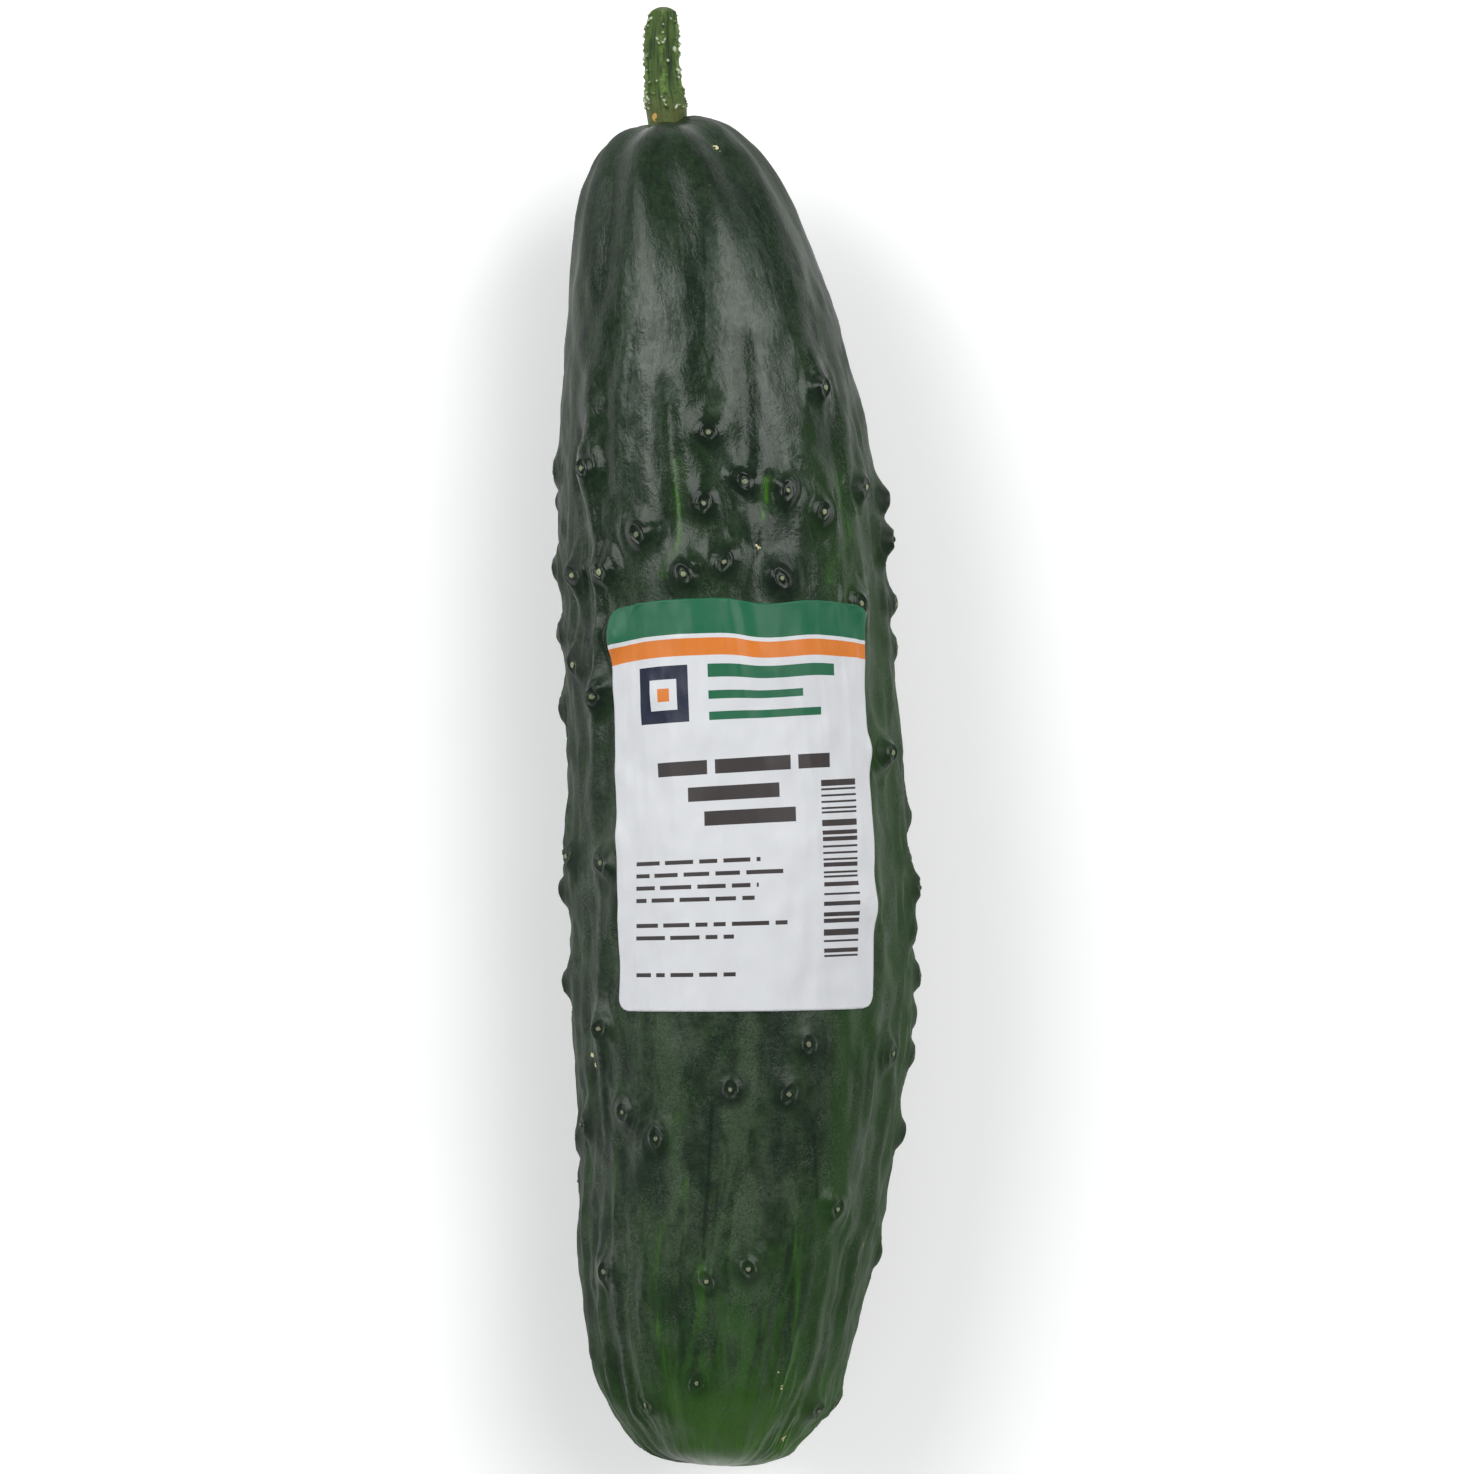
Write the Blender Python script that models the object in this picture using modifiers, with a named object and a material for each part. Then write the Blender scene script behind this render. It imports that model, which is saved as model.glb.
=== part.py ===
"""A whole slicing cucumber lying on its side: warty fruit, cut stem and film label.

Metres, +Z up. The fruit lies along Y with its stem end at +Y, on a small flat spot at z = 0.
The origin is on that plane, under the middle of the whole object. Distances along the fruit
are stations, counted from the blossom end, and angles round it are counted from the top.
"""

import math
import random

import bmesh
import bpy
import numpy as np
from mathutils import Vector

MM = 0.001

# Fruit: the body without its warts
FRUIT_LENGTH = 200.0 * MM
AXIS_HEIGHT = 24.1 * MM
MIDDLE_STATION = 108.1 * MM
# Station and radius, in millimetres
PROFILE_MM = (
    (0, 0), (1, 8.2), (5, 13.7), (12, 17.8), (24, 20.8), (42, 22.8), (64, 25.1), (84, 25.5),
    (115, 24.6), (140, 23.8), (152, 22.8), (165, 21.0), (176, 18.7), (187, 15.4), (194, 12.0),
    (198, 7.9), (200, 0),
)
# Station, axis to the right of the middle, axis above its usual height, in millimetres
AXIS_MM = (
    (0, -3.4, 0.9), (25, -2.0, 0.3), (50, 0.2, 0.0), (85, 0.5, 0.0), (115, -0.8, -0.5),
    (140, -2.4, -0.7), (160, -4.3, 0.0), (178, -6.9, 1.0), (200, -11.5, 2.5),
)

# Ribs: faint on the belly and plain near the stem
RIB_COUNT = 9
RIB_TURN = math.radians(-23)
RIB_BELLY = 0.12 * MM
RIB_SHOULDER = 0.55 * MM
RIB_SHOULDER_STATION = 178.0 * MM
RIB_SHOULDER_REACH = 30.0 * MM
LOBE_COUNT = 3
LOBE_HEIGHT = 0.2 * MM
LOBE_TURN = math.radians(20)
RIB_FADE_RADIUS = 8.0 * MM

# Hollows at the two ends
DIMPLE_DEPTH = 0.8 * MM
DIMPLE_RADIUS = 1.6 * MM
CROWN_DEPTH = 1.2 * MM
CROWN_RADIUS = 4.2 * MM
CROWN_LOBE = 0.4 * MM
CROWN_LOBE_RADIUS = 6.5 * MM
CROWN_LOBE_COUNT = 5

# Warts: a broad mound with a narrower tip that leans to the blossom end
MOUND_RADIUS = 4.6 * MM
MOUND_HEIGHT = 1.1 * MM
TIP_RADIUS = 2.1 * MM
TIP_HEIGHT = 0.65 * MM
TIP_LEAN = 0.4 * MM
# Upper side, measured from straight above: distance from the blossom end and to the right of
# the middle, both in millimetres, and size, where 1 is a full-grown wart
UPPER_WARTS = (
    (159.8, 13.2, 0.8), (153.2, -4.3, 0.8), (147.8, -23.4, 0.9), (146.0, 1.3, 0.8),
    (144.6, 7.6, 0.8), (141.5, 13.3, 0.9), (145.1, 19.5, 0.9), (142.7, -5.0, 0.8),
    (138.0, -15.3, 0.9), (132.3, -8.1, 0.9), (134.0, -1.9, 0.8), (131.6, 6.7, 0.8),
    (127.9, 18.7, 0.9), (132.5, -20.9, 0.9), (132.0, -24.6, 0.8), (122.6, -19.4, 0.8),
    (118.7, -24.5, 0.8), (114.0, -21.6, 0.9), (90.4, -25.2, 0.7), (89.4, -20.9, 0.9),
    (105.7, 23.3, 1.1), (83.1, 20.0, 0.7), (64.9, -20.9, 0.9), (62.5, 10.9, 0.8),
    (61.2, 23.6, 0.9), (55.8, -1.0, 0.8), (55.1, 7.9, 0.8), (52.5, -17.9, 0.9),
    (50.8, -23.3, 0.8), (48.6, -12.7, 0.8), (38.1, 15.4, 0.9), (29.0, -20.2, 0.8),
    (29.2, 1.8, 0.9), (27.4, -4.7, 0.5), (12.4, -6.1, 0.6), (9.2, -14.1, 0.5),
    (8.7, 12.2, 0.7),
)
# On the outline, seen from above: distance from the blossom end in millimetres and size
EDGE_ANGLE = math.radians(88)
EDGE_REACH = 30
EDGE_SWAY = math.radians(9)
LEFT_EDGE_WARTS = (
    (147.3, 0.75), (133.1, 0.95), (123.4, 0.9), (112.3, 1.0), (91.0, 0.4), (85.1, 1.1),
    (71.7, 1.0), (48.6, 0.65), (42.2, 0.4),
)
RIGHT_EDGE_WARTS = (
    (143.2, 0.65), (137.1, 1.15), (127.6, 1.0), (121.4, 0.7), (96.5, 0.6), (85.8, 0.95),
    (79.5, 0.6), (72.8, 1.0), (66.5, 0.7), (60.9, 0.9), (49.5, 1.05), (32.0, 0.75),
    (9.3, 0.65),
)
# Under side, where the photograph doesn't reach: rows along the ribs
UNDER_ROWS = (-155, -133, -112, 110, 131, 152, 177)
UNDER_FIRST = 14.0 * MM
UNDER_LAST = 158.0 * MM
UNDER_STEP = (19.0 * MM, 33.0 * MM)
UNDER_SWAY = math.radians(6)
UNDER_SIZES = (0.55, 1.0)
FLAT_ZONE_ANGLE = math.radians(157)
FLAT_ZONE = (46.0 * MM, 138.0 * MM)
WART_SEED = 7

# Stem: foot in the crown, slightly flared where it leaves it, cut off square-ish
STEM_FOOT = 196.0 * MM
STEM_TOP = 215.4 * MM
# Station, radius, centre to the right of the middle, in millimetres
STEM_MM = (
    (196, 2.8, -9.9), (199, 2.9, -10.3), (201.5, 3.05, -10.5), (204, 2.85, -10.8),
    (208, 2.6, -11.1), (212, 2.5, -11.15), (214, 2.3, -11.05), (215.4, 1.9, -10.9),
)
STEM_END_ROUNDING = 0.8 * MM
STEM_LIFT = 2.4 * MM
STEM_RIB_COUNT = 6
STEM_RIB_HEIGHT = 0.22 * MM
STEM_RIB_START = 3.0 * MM
STEM_END_RINGS = 3
BUMP_COUNT = 84
BUMP_FIRST = 201.0 * MM
BUMP_RADIUS = 0.75 * MM
BUMP_HEIGHTS = (0.16 * MM, 0.32 * MM)
BUMP_SEED = 21

# Socket in the crown, round the stem's foot
SOCKET_GAP = 0.3 * MM
SOCKET_RADIUS = 3.5 * MM
SOCKET_TOP = 206.0 * MM

# Label: a film with round corners, lying on the skin
LABEL_WIDTH = 42.5 * MM
LABEL_HEIGHT = 61.0 * MM
LABEL_CORNER = 2.0 * MM
LABEL_STATION = 98.0 * MM
LABEL_ARC = 1.7 * MM
LABEL_TURN = 0.018
LABEL_THICKNESS = 0.6 * MM
LABEL_GAP = 0.3 * MM
LABEL_SPREAD = 1.45
CORNER_TURNS = np.radians([90, 60, 30])

# Mesh density
AROUND = 48
ALONG = 48
NEAR_WART = 4.2 * MM
NEAR_TIP = 2.3 * MM
STEM_AROUND = 36
STEM_ALONG = 38
LABEL_COLUMNS = 20
LABEL_ROWS = 28
SAMPLES = 400
LEAN_ROUNDS = 4
EDGE_STATION = 0.02 * MM
POLE_MARGIN = 0.4 * MM
STEP = 0.1 * MM
TURN_STEP = 0.01

# Plain colours for the solids
SKIN_COLOUR = (0.03, 0.07, 0.03)
SKIN_ROUGHNESS = 0.4
STALK_COLOUR = (0.09, 0.16, 0.05)
STALK_ROUGHNESS = 0.6
FILM_COLOUR = (0.78, 0.79, 0.82)
FILM_ROUGHNESS = 0.4


def smooth_curve(points, column, x):
    """Read a smooth curve through a few measured points, in millimetres, at x in metres."""
    stations = np.array([point[0] for point in points]) * MM
    values = np.array([point[column] for point in points]) * MM
    slopes = np.gradient(values, stations)
    return hermite(stations, values, slopes, x)


def hermite(stations, values, slopes, x):
    """Cubic through the values with the given slopes."""
    i = np.clip(np.searchsorted(stations, x) - 1, 0, len(stations) - 2)
    span = stations[i + 1] - stations[i]
    u = np.clip((x - stations[i]) / span, 0, 1)
    start = (1 + 2 * u) * (1 - u) ** 2 * values[i] + u * (1 - u) ** 2 * span * slopes[i]
    end = u * u * (3 - 2 * u) * values[i + 1] + u * u * (u - 1) * span * slopes[i + 1]
    return start + end


def body_radius(station):
    """Radius of the fruit. Its square is what is curved smoothly, so that both ends are round."""
    stations = np.array([point[0] for point in PROFILE_MM]) * MM
    squares = np.array([point[1] ** 2 for point in PROFILE_MM]) * MM * MM
    slopes = np.gradient(squares, stations)
    return np.sqrt(np.maximum(hermite(stations, squares, slopes, station), 0))


def axis_point(station):
    """Middle of the fruit's section at a station."""
    across = smooth_curve(AXIS_MM, 1, station)
    height = smooth_curve(AXIS_MM, 2, station) + AXIS_HEIGHT
    return np.stack([across, station - MIDDLE_STATION, height], axis=-1)


def axis_direction(station):
    """Unit direction of the axis towards the stem."""
    low = np.clip(station - MM, 0, FRUIT_LENGTH)
    high = np.clip(station + MM, 0, FRUIT_LENGTH)
    along = axis_point(high) - axis_point(low)
    return along / np.linalg.norm(along, axis=-1, keepdims=True)


def rib_relief(station, angle):
    """Height of ribs and of the three broad lobes over the round body."""
    shoulder = np.exp(-((station - RIB_SHOULDER_STATION) / RIB_SHOULDER_REACH) ** 2)
    rib = (RIB_BELLY + RIB_SHOULDER * shoulder) * np.cos(RIB_COUNT * (angle - RIB_TURN))
    lobe = LOBE_HEIGHT * np.cos(LOBE_COUNT * (angle - LOBE_TURN))
    return rib + lobe


def end_shift(station, angle, radius):
    """Shift along the axis that makes the blossom-end dimple and the hollow round the stem."""
    dimple = DIMPLE_DEPTH * np.exp(-(radius / DIMPLE_RADIUS) ** 2)
    hollow = -CROWN_DEPTH * np.exp(-(radius / CROWN_RADIUS) ** 2)
    ring = np.exp(-((radius - CROWN_LOBE_RADIUS) / CROWN_RADIUS) ** 2)
    lobes = CROWN_LOBE * ring * np.cos(CROWN_LOBE_COUNT * angle)
    return np.where(station < FRUIT_LENGTH / 2, dimple, hollow + lobes)


def bare_skin(station, angle):
    """Points of the fruit's skin before any wart is raised on it."""
    round_radius = body_radius(station)
    swell = np.minimum(round_radius / RIB_FADE_RADIUS, 1)
    radius = round_radius + rib_relief(station, angle) * swell
    along = axis_direction(station)
    right = np.cross(along, [0, 0, 1])
    right /= np.linalg.norm(right, axis=-1, keepdims=True)
    up = np.cross(right, along)
    outward = right * np.sin(angle)[..., None] + up * np.cos(angle)[..., None]
    shift = end_shift(station, angle, round_radius)
    return axis_point(station) + outward * radius[..., None] + along * shift[..., None]


def skin_normal(station, angle):
    """Outward unit normals of the bare skin."""
    near = np.clip(station, POLE_MARGIN, FRUIT_LENGTH - POLE_MARGIN)
    low = np.maximum(near - STEP, EDGE_STATION)
    high = np.minimum(near + STEP, FRUIT_LENGTH - EDGE_STATION)
    towards_stem = bare_skin(high, angle) - bare_skin(low, angle)
    round_fruit = bare_skin(near, angle + TURN_STEP) - bare_skin(near, angle - TURN_STEP)
    normal = np.cross(round_fruit, towards_stem)
    return normal / np.linalg.norm(normal, axis=-1, keepdims=True)


def arc_stations(count):
    """Stations that are evenly spaced along the skin, from the blossom end to the crown."""
    turns = np.linspace(0, math.pi, 2 * SAMPLES)
    stations = FRUIT_LENGTH * (1 - np.cos(turns)) / 2
    radii = body_radius(stations)
    steps = np.hypot(np.diff(stations), np.diff(radii))
    lengths = np.concatenate([[0], np.cumsum(steps)])
    return np.interp(np.linspace(0, lengths[-1], count), lengths, stations)


def spot_from_above(distance, across):
    """Station and angle of a spot on the upper side, from its place in the view from above.

    The sections lean with the axis, so the station is found in a few rounds.
    """
    station = np.array([distance])
    for _ in range(LEAN_ROUNDS):
        direction = axis_direction(station)[0]
        from_axis = np.array([across]) - smooth_curve(AXIS_MM, 1, station)
        reach = body_radius(station) * math.sin(EDGE_ANGLE)
        from_axis = np.clip(from_axis, -reach, reach)
        station = np.array([distance]) + from_axis * direction[0] / direction[1]
    return float(station[0]), math.asin(float(from_axis[0] / body_radius(station)[0]))


def seen_warts(draw):
    """Warts of the upper side and of the outline, the latter a little above or below it."""
    warts = [(*spot_from_above(y * MM, x * MM), size) for y, x, size in UPPER_WARTS]
    for side, row in ((-EDGE_REACH, LEFT_EDGE_WARTS), (EDGE_REACH, RIGHT_EDGE_WARTS)):
        for distance, size in row:
            station, angle = spot_from_above(distance * MM, side * MM)
            warts.append((station, angle + draw.uniform(-EDGE_SWAY, EDGE_SWAY), size))
    return warts


def under_warts(draw):
    """Warts on the under side: rows along the ribs, spaced by a seeded draw."""
    warts = []
    for row in UNDER_ROWS:
        station = UNDER_FIRST + draw.uniform(0, UNDER_STEP[0])
        while station < UNDER_LAST:
            angle = math.radians(row) + draw.uniform(-UNDER_SWAY, UNDER_SWAY)
            size = draw.uniform(*UNDER_SIZES)
            on_flat = abs(angle) > FLAT_ZONE_ANGLE and FLAT_ZONE[0] < station < FLAT_ZONE[1]
            if not on_flat:
                warts.append((station, angle, size))
            station += draw.uniform(*UNDER_STEP)
    return warts


def all_warts():
    """Every wart as station, angle and size."""
    draw = random.Random(WART_SEED)
    return seen_warts(draw) + under_warts(draw)


def cap(distance, reach):
    """A smooth round bump of height 1 that ends at its reach."""
    return np.maximum(1 - (distance / reach) ** 2, 0) ** 2


def wart_relief(points, along, warts, spread=1.0):
    """Height of the warts over the bare skin at the given points."""
    relief = np.zeros(len(points))
    for station, angle, size in warts:
        middle = bare_skin(np.array([station]), np.array([angle]))[0]
        offset = points - middle
        mound = cap(np.linalg.norm(offset, axis=1), MOUND_RADIUS * spread)
        tip = cap(np.linalg.norm(offset + along * TIP_LEAN, axis=1), TIP_RADIUS * spread)
        relief += size * (MOUND_HEIGHT * mound + TIP_HEIGHT * tip)
    return relief


def skin(station, angle, warts):
    """Points of the finished skin."""
    points = bare_skin(station, angle)
    relief = wart_relief(points, axis_direction(station), warts)
    return points + skin_normal(station, angle) * relief[:, None]


def sphere_places(bm):
    """Polar fraction from the lower pole and angle from +X of every vertex of a sphere."""
    for vertex in bm.verts:
        vertex.co.normalize()
    coords = np.array([vertex.co[:] for vertex in bm.verts])
    polar = 1 - np.arccos(np.clip(coords[:, 2], -1, 1)) / math.pi
    return polar, np.arctan2(coords[:, 1], coords[:, 0])


def fruit_places(bm):
    """Station and angle on the fruit of every vertex of the sphere that it is made from."""
    polar, angle = sphere_places(bm)
    station = np.interp(polar, np.linspace(0, 1, SAMPLES), arc_stations(SAMPLES))
    return np.clip(station, EDGE_STATION, FRUIT_LENGTH - EDGE_STATION), angle


def refine_near(bm, warts, reach):
    """Halve the faces that lie within reach of a wart."""
    bm.faces.index_update()
    station, angle = fruit_places(bm)
    points = bare_skin(station, angle)
    middles = np.array([points[[v.index for v in face.verts]].mean(axis=0) for face in bm.faces])
    near = np.zeros(len(middles), dtype=bool)
    for wart_station, wart_angle, size in warts:
        middle = bare_skin(np.array([wart_station]), np.array([wart_angle]))[0]
        near |= np.linalg.norm(middles - middle, axis=1) < reach * math.sqrt(size)
    edges = [edge for edge in bm.edges if any(near[face.index] for face in edge.link_faces)]
    bmesh.ops.subdivide_edges(bm, edges=edges, cuts=1, use_grid_fill=True)
    bm.verts.index_update()


def new_object(name, bm, collection, material=None):
    """Turn a bmesh into a named object, with its material if it has one."""
    mesh = bpy.data.meshes.new(name)
    bm.to_mesh(mesh)
    bm.free()
    if material:
        mesh.materials.append(material)
    piece = bpy.data.objects.new(name, mesh)
    collection.objects.link(piece)
    return piece


def make_material(name, colour, roughness):
    """Plain Principled material."""
    material = bpy.data.materials.new(name)
    material.use_nodes = True
    shader = material.node_tree.nodes["Principled BSDF"]
    shader.inputs["Base Color"].default_value = (*colour, 1)
    shader.inputs["Roughness"].default_value = roughness
    shader.inputs["Metallic"].default_value = 0
    return material


def build_fruit(collection, warts):
    """The fruit: a sphere drawn out along its axis, with ribs, warts and a flat spot."""
    bm = bmesh.new()
    bmesh.ops.create_uvsphere(bm, u_segments=AROUND, v_segments=ALONG, radius=1)
    refine_near(bm, warts, NEAR_WART)
    refine_near(bm, warts, NEAR_TIP)
    bmesh.ops.triangulate(bm, faces=bm.faces[:])
    station, angle = fruit_places(bm)
    points = skin(station, angle, warts)
    points[:, 2] = np.maximum(points[:, 2], 0)
    for vertex, point in zip(bm.verts, points):
        vertex.co = point
    material = make_material("skin", SKIN_COLOUR, SKIN_ROUGHNESS)
    fruit = new_object("fruit", bm, collection, material)
    fruit.data.shade_smooth()
    return fruit


def stem_axis(station):
    """Middle of the stem's section at a station."""
    across = smooth_curve(STEM_MM, 2, station)
    height = np.full_like(station, AXIS_HEIGHT + STEM_LIFT)
    return np.stack([across, station - MIDDLE_STATION, height], axis=-1)


def stem_bumps():
    """Bristly bumps on the stem: station, angle and height, by a seeded draw."""
    draw = random.Random(BUMP_SEED)
    bumps = []
    for _ in range(BUMP_COUNT):
        station = draw.uniform(BUMP_FIRST, STEM_TOP - MM)
        share = (STEM_TOP - station) / (STEM_TOP - BUMP_FIRST)
        height = BUMP_HEIGHTS[0] + (BUMP_HEIGHTS[1] - BUMP_HEIGHTS[0]) * share
        bumps.append((station, draw.uniform(-math.pi, math.pi), height))
    return bumps


def stem_radius(station, angle):
    """Radius of the ribbed stem, with its bumps."""
    radius = smooth_curve(STEM_MM, 1, station)
    rib_share = np.clip((station - BUMP_FIRST) / STEM_RIB_START, 0, 1)
    radius = radius + STEM_RIB_HEIGHT * rib_share * np.cos(STEM_RIB_COUNT * angle)
    for bump_station, bump_angle, height in stem_bumps():
        turn = (angle - bump_angle + math.pi) % (2 * math.pi) - math.pi
        distance = np.hypot(station - bump_station, turn * radius)
        radius = radius + height * cap(distance, BUMP_RADIUS)
    return radius


def build_stem(collection):
    """The stem: a sphere drawn out into a ribbed rod with flat, slightly rounded ends."""
    bm = bmesh.new()
    bmesh.ops.create_uvsphere(bm, u_segments=STEM_AROUND, v_segments=STEM_ALONG, radius=1)
    polar, angle = sphere_places(bm)
    end_share = STEM_END_RINGS / STEM_ALONG
    along = np.clip((polar - end_share) / (1 - 2 * end_share), 0, 1)
    from_pole = np.clip(np.minimum(polar, 1 - polar) / end_share, 0, 1)
    station = STEM_FOOT + (STEM_TOP - STEM_FOOT) * along
    rounding = STEM_END_ROUNDING * (1 - from_pole) ** 2
    radius = stem_radius(station, angle) * from_pole
    middle = stem_axis(station)
    for vertex, centre, r, a, share in zip(bm.verts, middle, radius, angle, rounding):
        cut_end = share if vertex.co.z > 0 else -share
        vertex.co = (centre[0] + r * math.sin(a), centre[1] + cut_end, centre[2] + r * math.cos(a))
    material = make_material("stalk", STALK_COLOUR, STALK_ROUGHNESS)
    stem = new_object("stem", bm, collection, material)
    stem.data.shade_smooth()
    return stem


def cut_socket(fruit, cutters):
    """Hollow out the crown round the stem's foot."""
    foot = Vector(stem_axis(np.array([STEM_FOOT - STEM_END_ROUNDING - SOCKET_GAP]))[0])
    top = Vector(stem_axis(np.array([SOCKET_TOP]))[0])
    bm = bmesh.new()
    bmesh.ops.create_cone(
        bm, cap_ends=True, segments=STEM_AROUND, radius1=SOCKET_RADIUS, radius2=SOCKET_RADIUS,
        depth=(top - foot).length,
    )
    cutter = new_object("stem_socket", bm, cutters)
    cutter.location = (foot + top) / 2
    cutter.rotation_mode = "QUATERNION"
    cutter.rotation_quaternion = (top - foot).to_track_quat("Z", "Y")
    cutter.hide_render = True
    cutter.display_type = "WIRE"
    cut = fruit.modifiers.new("stem_socket", "BOOLEAN")
    cut.operation = "DIFFERENCE"
    cut.object = cutter


def label_place(u, v):
    """Station and angle of a spot of the label, from -1 to 1 across it and along it."""
    along = v * LABEL_HEIGHT / 2
    from_end = LABEL_HEIGHT / 2 - np.abs(along)
    inset = np.clip(LABEL_CORNER - from_end, 0, LABEL_CORNER)
    corner = LABEL_CORNER - np.sqrt(LABEL_CORNER ** 2 - inset ** 2)
    across = u * (LABEL_WIDTH / 2 - corner)
    station = LABEL_STATION + along - across * LABEL_TURN
    arc = LABEL_ARC + across + along * LABEL_TURN
    return station, arc / body_radius(station)


def label_rows(count):
    """Rows of the label from -1 to 1, closer together inside the round corners."""
    corner_share = 1 - 2 * LABEL_CORNER / LABEL_HEIGHT
    inner = np.linspace(-corner_share, corner_share, count - 2 * len(CORNER_TURNS))
    rise = corner_share + (1 - corner_share) * np.sin(CORNER_TURNS)
    return np.concatenate([-rise, inner, rise[::-1]])


def build_label(collection, warts):
    """The label: a sheet with round corners that follows the skin, 0.3 mm clear of it."""
    bm = bmesh.new()
    bmesh.ops.create_grid(bm, x_segments=LABEL_COLUMNS, y_segments=LABEL_ROWS, size=1)
    coords = np.array([vertex.co[:] for vertex in bm.verts])
    even_rows = np.linspace(-1, 1, LABEL_ROWS + 1)
    row = np.interp(coords[:, 1], even_rows, label_rows(LABEL_ROWS + 1))
    station, angle = label_place(coords[:, 0], row)
    points = bare_skin(station, angle)
    lift = wart_relief(points, axis_direction(station), warts, LABEL_SPREAD) + LABEL_GAP
    points += skin_normal(station, angle) * lift[:, None]
    for vertex, point in zip(bm.verts, points):
        vertex.co = point
    material = make_material("film", FILM_COLOUR, FILM_ROUGHNESS)
    label = new_object("label", bm, collection, material)
    label.data.shade_smooth()
    film = label.modifiers.new("thickness", "SOLIDIFY")
    film.thickness = LABEL_THICKNESS
    film.offset = 1
    return label


def clear_scene():
    """Remove whatever the file holds."""
    for piece in list(bpy.data.objects):
        bpy.data.objects.remove(piece, do_unlink=True)


def new_collection(name):
    """Make a collection in the scene."""
    collection = bpy.data.collections.new(name)
    bpy.context.scene.collection.children.link(collection)
    return collection


def main():
    """Build the cucumber."""
    clear_scene()
    cucumber = new_collection("cucumber")
    cutters = new_collection("cutters")
    warts = all_warts()
    fruit = build_fruit(cucumber, warts)
    build_stem(cucumber)
    cut_socket(fruit, cutters)
    build_label(cucumber, warts)


main()
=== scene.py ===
"""Looks for the cucumber: its skin, stem and label in fine detail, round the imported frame.

Metres, +Z up. The fruit lies along Y with its stem end at +Y. Distances along the fruit are
stations, counted from the blossom end, and angles round it are counted from the top. Places
that were measured in the picture are distances from the blossom end and to the right of the
middle, in millimetres.
"""

import math
import random
from collections import namedtuple

import bmesh
import bpy
import numpy as np
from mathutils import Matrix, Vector, noise


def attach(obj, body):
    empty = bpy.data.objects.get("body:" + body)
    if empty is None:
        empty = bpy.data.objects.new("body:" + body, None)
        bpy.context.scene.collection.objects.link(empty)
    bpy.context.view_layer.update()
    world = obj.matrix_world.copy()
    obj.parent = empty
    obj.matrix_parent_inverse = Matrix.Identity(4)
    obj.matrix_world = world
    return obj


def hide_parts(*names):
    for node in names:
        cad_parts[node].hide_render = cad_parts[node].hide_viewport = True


MM = 0.001

# Fruit: the body without its warts, as in part.py, but with ribs that fade sooner
FRUIT_LENGTH = 200.0 * MM
AXIS_HEIGHT = 24.1 * MM
MIDDLE_STATION = 108.1 * MM
# Station and radius
PROFILE_MM = (
    (0, 0), (1, 8.2), (5, 13.7), (12, 17.8), (24, 20.8), (42, 22.8), (64, 25.1), (84, 25.5),
    (115, 24.6), (140, 23.8), (152, 22.8), (165, 21.0), (176, 18.7), (187, 15.4), (194, 12.0),
    (198, 7.9), (200, 0),
)
# Station, axis to the right of the middle, axis above its usual height
AXIS_MM = (
    (0, -3.4, 0.9), (25, -2.0, 0.3), (50, 0.2, 0.0), (85, 0.5, 0.0), (115, -0.8, -0.5),
    (140, -2.4, -0.7), (160, -4.3, 0.0), (178, -6.9, 1.0), (200, -11.5, 2.5),
)
RIB_COUNT = 9
RIB_TURN = math.radians(-23)
RIB_BELLY = 0.06 * MM
RIB_SHOULDER = 0.5 * MM
RIB_SHOULDER_STATION = 190.0 * MM
RIB_SHOULDER_REACH = 12.0 * MM
RIB_FADE_RADIUS = 8.0 * MM
LOBE_COUNT = 3
LOBE_HEIGHT = 0.2 * MM
LOBE_TURN = math.radians(20)
DIMPLE_DEPTH = 0.8 * MM
DIMPLE_RADIUS = 1.6 * MM
CROWN_DEPTH = 1.2 * MM
CROWN_RADIUS = 4.2 * MM
CROWN_LOBE = 0.4 * MM
CROWN_LOBE_RADIUS = 6.5 * MM
CROWN_LOBE_COUNT = 5

# Warts: a broad mound, and on it a small crater whose rim is pointed like an almond. A pale scar
# stands in the crater. Rim sizes are shares of the crater's half width and half length.
MOUND_RADIUS = 4.6 * MM
MOUND_HEIGHT = 1.08 * MM
WART_LIFT = 1.3 * MM
# Mounds and tips are lower where the fruit faces up, most of all in its blossom half
LOW_MOUND = 0.35
LOW_TIP = 0.4
LOW_AT_STEM = 0.35
MOUND_STATIONS = (85.0 * MM, 125.0 * MM)
MOUND_ANGLES = (math.radians(38), math.radians(62))
TIP_REACH = 1.75
TIP_HEIGHT = 0.5 * MM
TIP_LEAN = 0.4 * MM
RIM_HALF_WIDTH = 1.08 * MM
RIM_HALF_LENGTH = 1.3 * MM
RIM_RIDGE = 0.13
RIM_HEIGHT = 0.19 * MM
RIM_ENDS = 0.25
RIM_POINT = 0.8
RIM_HOODS = (0.1, 1.0)
RIM_SKEWS = (-0.35, 0.35)
RIM_STRETCHES = (1.05, 1.35)
CRATER_DEPTH = 0.2 * MM
CRATER_EDGE = (0.5, 0.95)
SCAR_RADII = (0.32 * MM, 0.5 * MM)
SCAR_EDGE = 0.1 * MM
SCAR_HEIGHT = 0.2 * MM
SCAR_PIT = 0.55
SCAR_PIT_DEPTH = 0.07 * MM
# Scars are duller and smaller in the blossom half
DULL_SHARE = 0.5
SMALL_SHARE = 0.8
DULL_STATIONS = (70.0 * MM, 130.0 * MM)
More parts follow.
